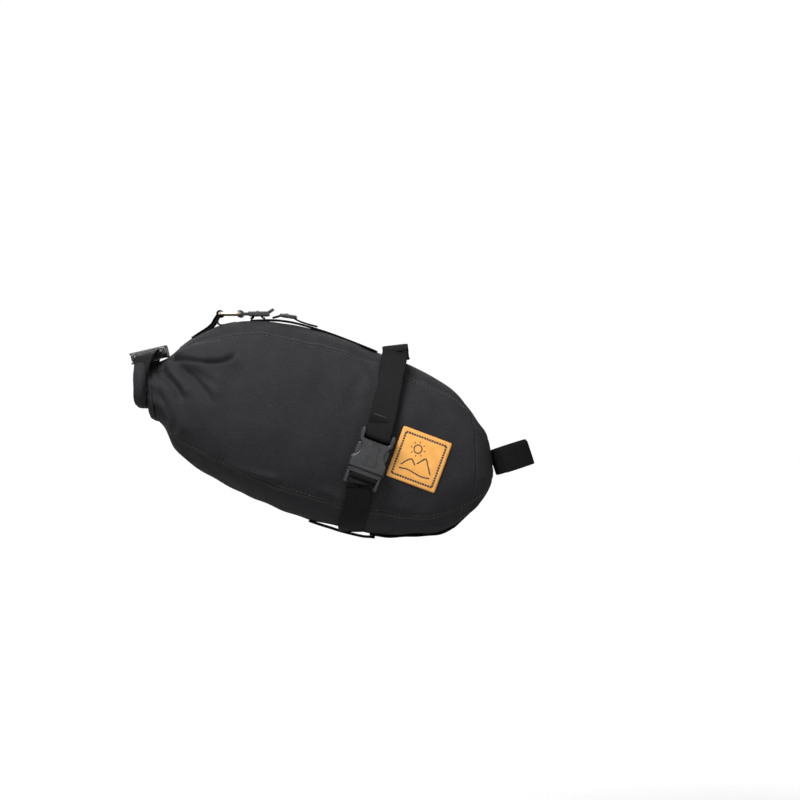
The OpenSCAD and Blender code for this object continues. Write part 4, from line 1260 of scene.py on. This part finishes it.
def mouth_fold():
    """The folded cloth that closes the mouth, pleated towards the roll."""
    angles = np.linspace(0, 2 * math.pi, 220, endpoint=False)
    e = 2 / FOLD_POWER
    rings = []
    for k, (x, lean, low, high, half) in enumerate(spline(FOLD_RINGS, 0.8)):
        share = min(k / 6, 1)
        pleat = 1 + 0.012 * share * np.sin(angles * 17 + 2 * share) + 0.008 * share * np.sin(angles * 29)
        z = (low + high) / 2 + (high - low) / 2 * signed_power(np.sin(angles), e) * pleat
        y = half * signed_power(np.cos(angles), e) * pleat
        rings.append(np.stack([x - lean * MOUTH_LEAN * (z - 50.4), y, z], -1))
    ends = []
    for ring, bulge, seed in ((rings[0], 0.3, 5), (rings[-1], -0.5, 9)):
        centre = ring.mean(0)
        shrunk = []
        for k in (0.85, 0.6, 0.35, 0.12):
            inner = centre + (ring - centre) * k
            inner[:, 0] += bulge * (1 + waves(inner[:, 1], inner[:, 2] * 0.5, 5, 12, 34, seed))
            shrunk.append(inner)
        ends.append(shrunk)
    p = np.array(ends[0][::-1] + rings + ends[1])
    n, cols = p.shape[:2]
    faces = grid_faces(n, cols, closed=True)
    faces += [tuple(range(cols))[::-1], tuple((n - 1) * cols + j for j in range(cols))]
    obj = make_mesh("mouth_fold", p, faces, SHELL, np.stack([p[..., 1], p[..., 2]], -1))
    return piece(obj, "closure", "shell_fabric", "mouth_fold")


ROLL_LINE = [(-42.8, 71.8), (-44.6, 68.8), (-47, 63), (-47.6, 55), (-43, 47.8), (-33, 45),
             (-17, 44.6), (0, 44.5), (17, 44.6), (33, 45),
             (43, 47.8), (47.6, 55), (47, 63), (44.6, 68.8), (42.8, 71.8)]
ROLL_MID_X = -285.8


def mouth_roll():
    """The rolled hem: a flattened roll with its layers showing, bent up at both ends."""
    path = spline([(ROLL_MID_X, y, z) for y, z in ROLL_LINE], 1.2)
    t = unit(np.gradient(path, axis=0))
    back = np.broadcast_to(np.array([-1.0, 0, 0]), t.shape)
    outward = unit(np.cross(back, t))
    outward *= np.sign((outward * (path - np.array([ROLL_MID_X, 0, 66]))).sum(-1, keepdims=True))
    angles = np.linspace(0, 2 * math.pi, 72, endpoint=False)
    run = np.arange(len(path)) * 1.2
    wobble = waves(run, 0 * run, 5, 9, 26, 31)
    slack = waves(run, 0 * run, 4, 14, 30, 33)

    end = np.minimum(np.arange(len(path)), np.arange(len(path))[::-1]) * 1.2

    def section(i):
        c, s = np.cos(angles), np.sin(angles)
        flat = 0.36 + 0.64 * smooth_step(end[i], 0, 15)
        layer = 0.55 * bump_at(np.abs(angles - 0.9 - 0.05 * wobble[i]), 0, 0.10)
        layer = layer + 0.45 * bump_at(np.abs(angles - 4.2 - 0.06 * slack[i]), 0, 0.09)
        layer = layer + 0.3 * bump_at(np.abs(angles - 2.9), 0, 0.12)
        crumple = 0.16 * np.sin(angles * 5 + wobble[i] * 1.2) + 0.20 * wobble[i] * np.cos(angles * 2)
        r = 1 + (crumple - layer) / 6.0
        thick, wide = 4.6 + 0.4 * flat, 6.4 * flat
        return np.stack([thick * signed_power(c, 0.8) * r, wide * signed_power(s, 0.8) * r], -1)

    obj = sweep("mouth_roll", path, back, outward, section, SHELL)
    return piece(obj, "closure", "shell_fabric", "mouth_roll")


mouth_fold()
mouth_roll()


def roll_tabs():
    """Webbing from each end of the roll to the buckle's two halves."""
    for name, side, bar_y in (("left", 1, 12.0), ("right", -1, -27.0)):
        base = [(-284.6, side * 45.6, 61), (-284.6, side * 45.2, 66), (-284.2, side * 43.6, 71.5),
                (-283.4, side * 40.4, 76), (-282.4, side * 34.5, 79)]
        outs = [(0, side, 0.1), (0, side, 0.15), (-0.05, side, 0.4), (-0.1, side * 0.8, 0.9),
                (-0.2, side * 0.25, 1)]
        pts = [np.array(q, float) for q in base]
        local = np.array([[0, -1.9, bar_y + side * 1.0], [0, -1.7, bar_y],
                          [0, 0.2, bar_y - side * 1.8], [0, 1.9, bar_y],
                          [0, 2.0, bar_y + side * 4], [0, 1.5, bar_y + side * 9]])
        direction = np.array([[0, -1, 0], [0, -1, -0.2 * side], [0, 0, -side], [0, 1, 0], [0, 1, 0], [0, 1, 0]])
        world = roll_place(local)
        turned = roll_place(local + direction) - world
        pts += list(world)
        outs = list(np.array(outs, float)) + list(turned)
        obj = strap(f"roll_tab_{name}", pts, outs, WEBBING, width=WEB_W - 1, step=1.0, thickness=1.4,
                    taper=(0.42, 0.62))
        if side > 0:
            piece(obj, "closure", "webbing", "roll_tab_left")
        else:
            tuple(roll_place(np.array([[0, 0, -29.5]]))[0] * MM)
            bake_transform(obj)
            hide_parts("roll_tab_right")


roll_tabs()


# ---------------------------------------------------------------- stage, light and camera
HORIZON_LIGHT, OVERHEAD_LIGHT = 1.02, 0.45


def stage():
    mesh = bpy.data.meshes.new("floor")
    s, z = 30, -0.42
    mesh.from_pydata([(-s, -s, z), (s, -s, z), (s, s, z), (-s, s, z)], [], [(0, 1, 2, 3)])
    mesh.materials.append(floor_look())
    floor = bpy.data.objects.new("floor", mesh)
    bpy.context.scene.collection.objects.link(floor)


def area_light(name, place, target, size, power, colour=(1, 1, 1)):
    data = bpy.data.lights.new(name, "AREA")
    data.shape, data.size, data.energy, data.color = "DISK", size, power, colour
    obj = bpy.data.objects.new(name, data)
    obj.location = place
    obj.rotation_euler = (Vector(target) - Vector(place)).to_track_quat("-Z", "Y").to_euler()
    bpy.context.scene.collection.objects.link(obj)


def studio_world():
    """White all round at the height of the horizon, and greyer overhead."""
    world = bpy.data.worlds.new("studio")
    world.use_nodes = True
    tree = world.node_tree
    background = tree.nodes["Background"]
    place = tree.nodes.new("ShaderNodeTexCoord")
    split = tree.nodes.new("ShaderNodeSeparateXYZ")
    tree.links.new(place.outputs["Generated"], split.inputs[0])
    ramp = tree.nodes.new("ShaderNodeMapRange")
    tree.links.new(split.outputs[2], ramp.inputs[0])
    for index, value in enumerate((0.22, 0.50, HORIZON_LIGHT, OVERHEAD_LIGHT), 1):
        ramp.inputs[index].default_value = value
    tree.links.new(ramp.outputs[0], background.inputs[1])
    background.inputs[0].default_value = (1, 1, 1, 1)
    return world


def lights():
    middle = (-0.14, 0, 0.02)
    area_light("key_softbox", (-0.7, -1.2, 1.5), middle, 0.9, 84)
    area_light("top_softbox", (-0.2, 0.2, 1.9), middle, 1.2, 14)
    area_light("front_fill", (0.9, -1.8, 0.3), middle, 1.6, 4)
    area_light("back_rim", (-0.4, 1.6, 1.0), middle, 1.4, 22)
    bpy.context.scene.world = studio_world()


def camera():
    """Level with the bag and square to its right side."""
    width, distance, sensor = 0.624, 2.5, 36
    data = bpy.data.cameras.new("camera")
    data.sensor_width = sensor
    data.lens = sensor * distance / width
    data.clip_end = 100
    obj = bpy.data.objects.new("camera", data)
    obj.location = (-0.0866, -distance, 0.0445)
    obj.rotation_euler = (math.pi / 2, 0, 0)
    bpy.context.scene.collection.objects.link(obj)
    bpy.context.scene.camera = obj


stage()
lights()
camera()
bpy.context.scene.view_settings.view_transform = "Standard"
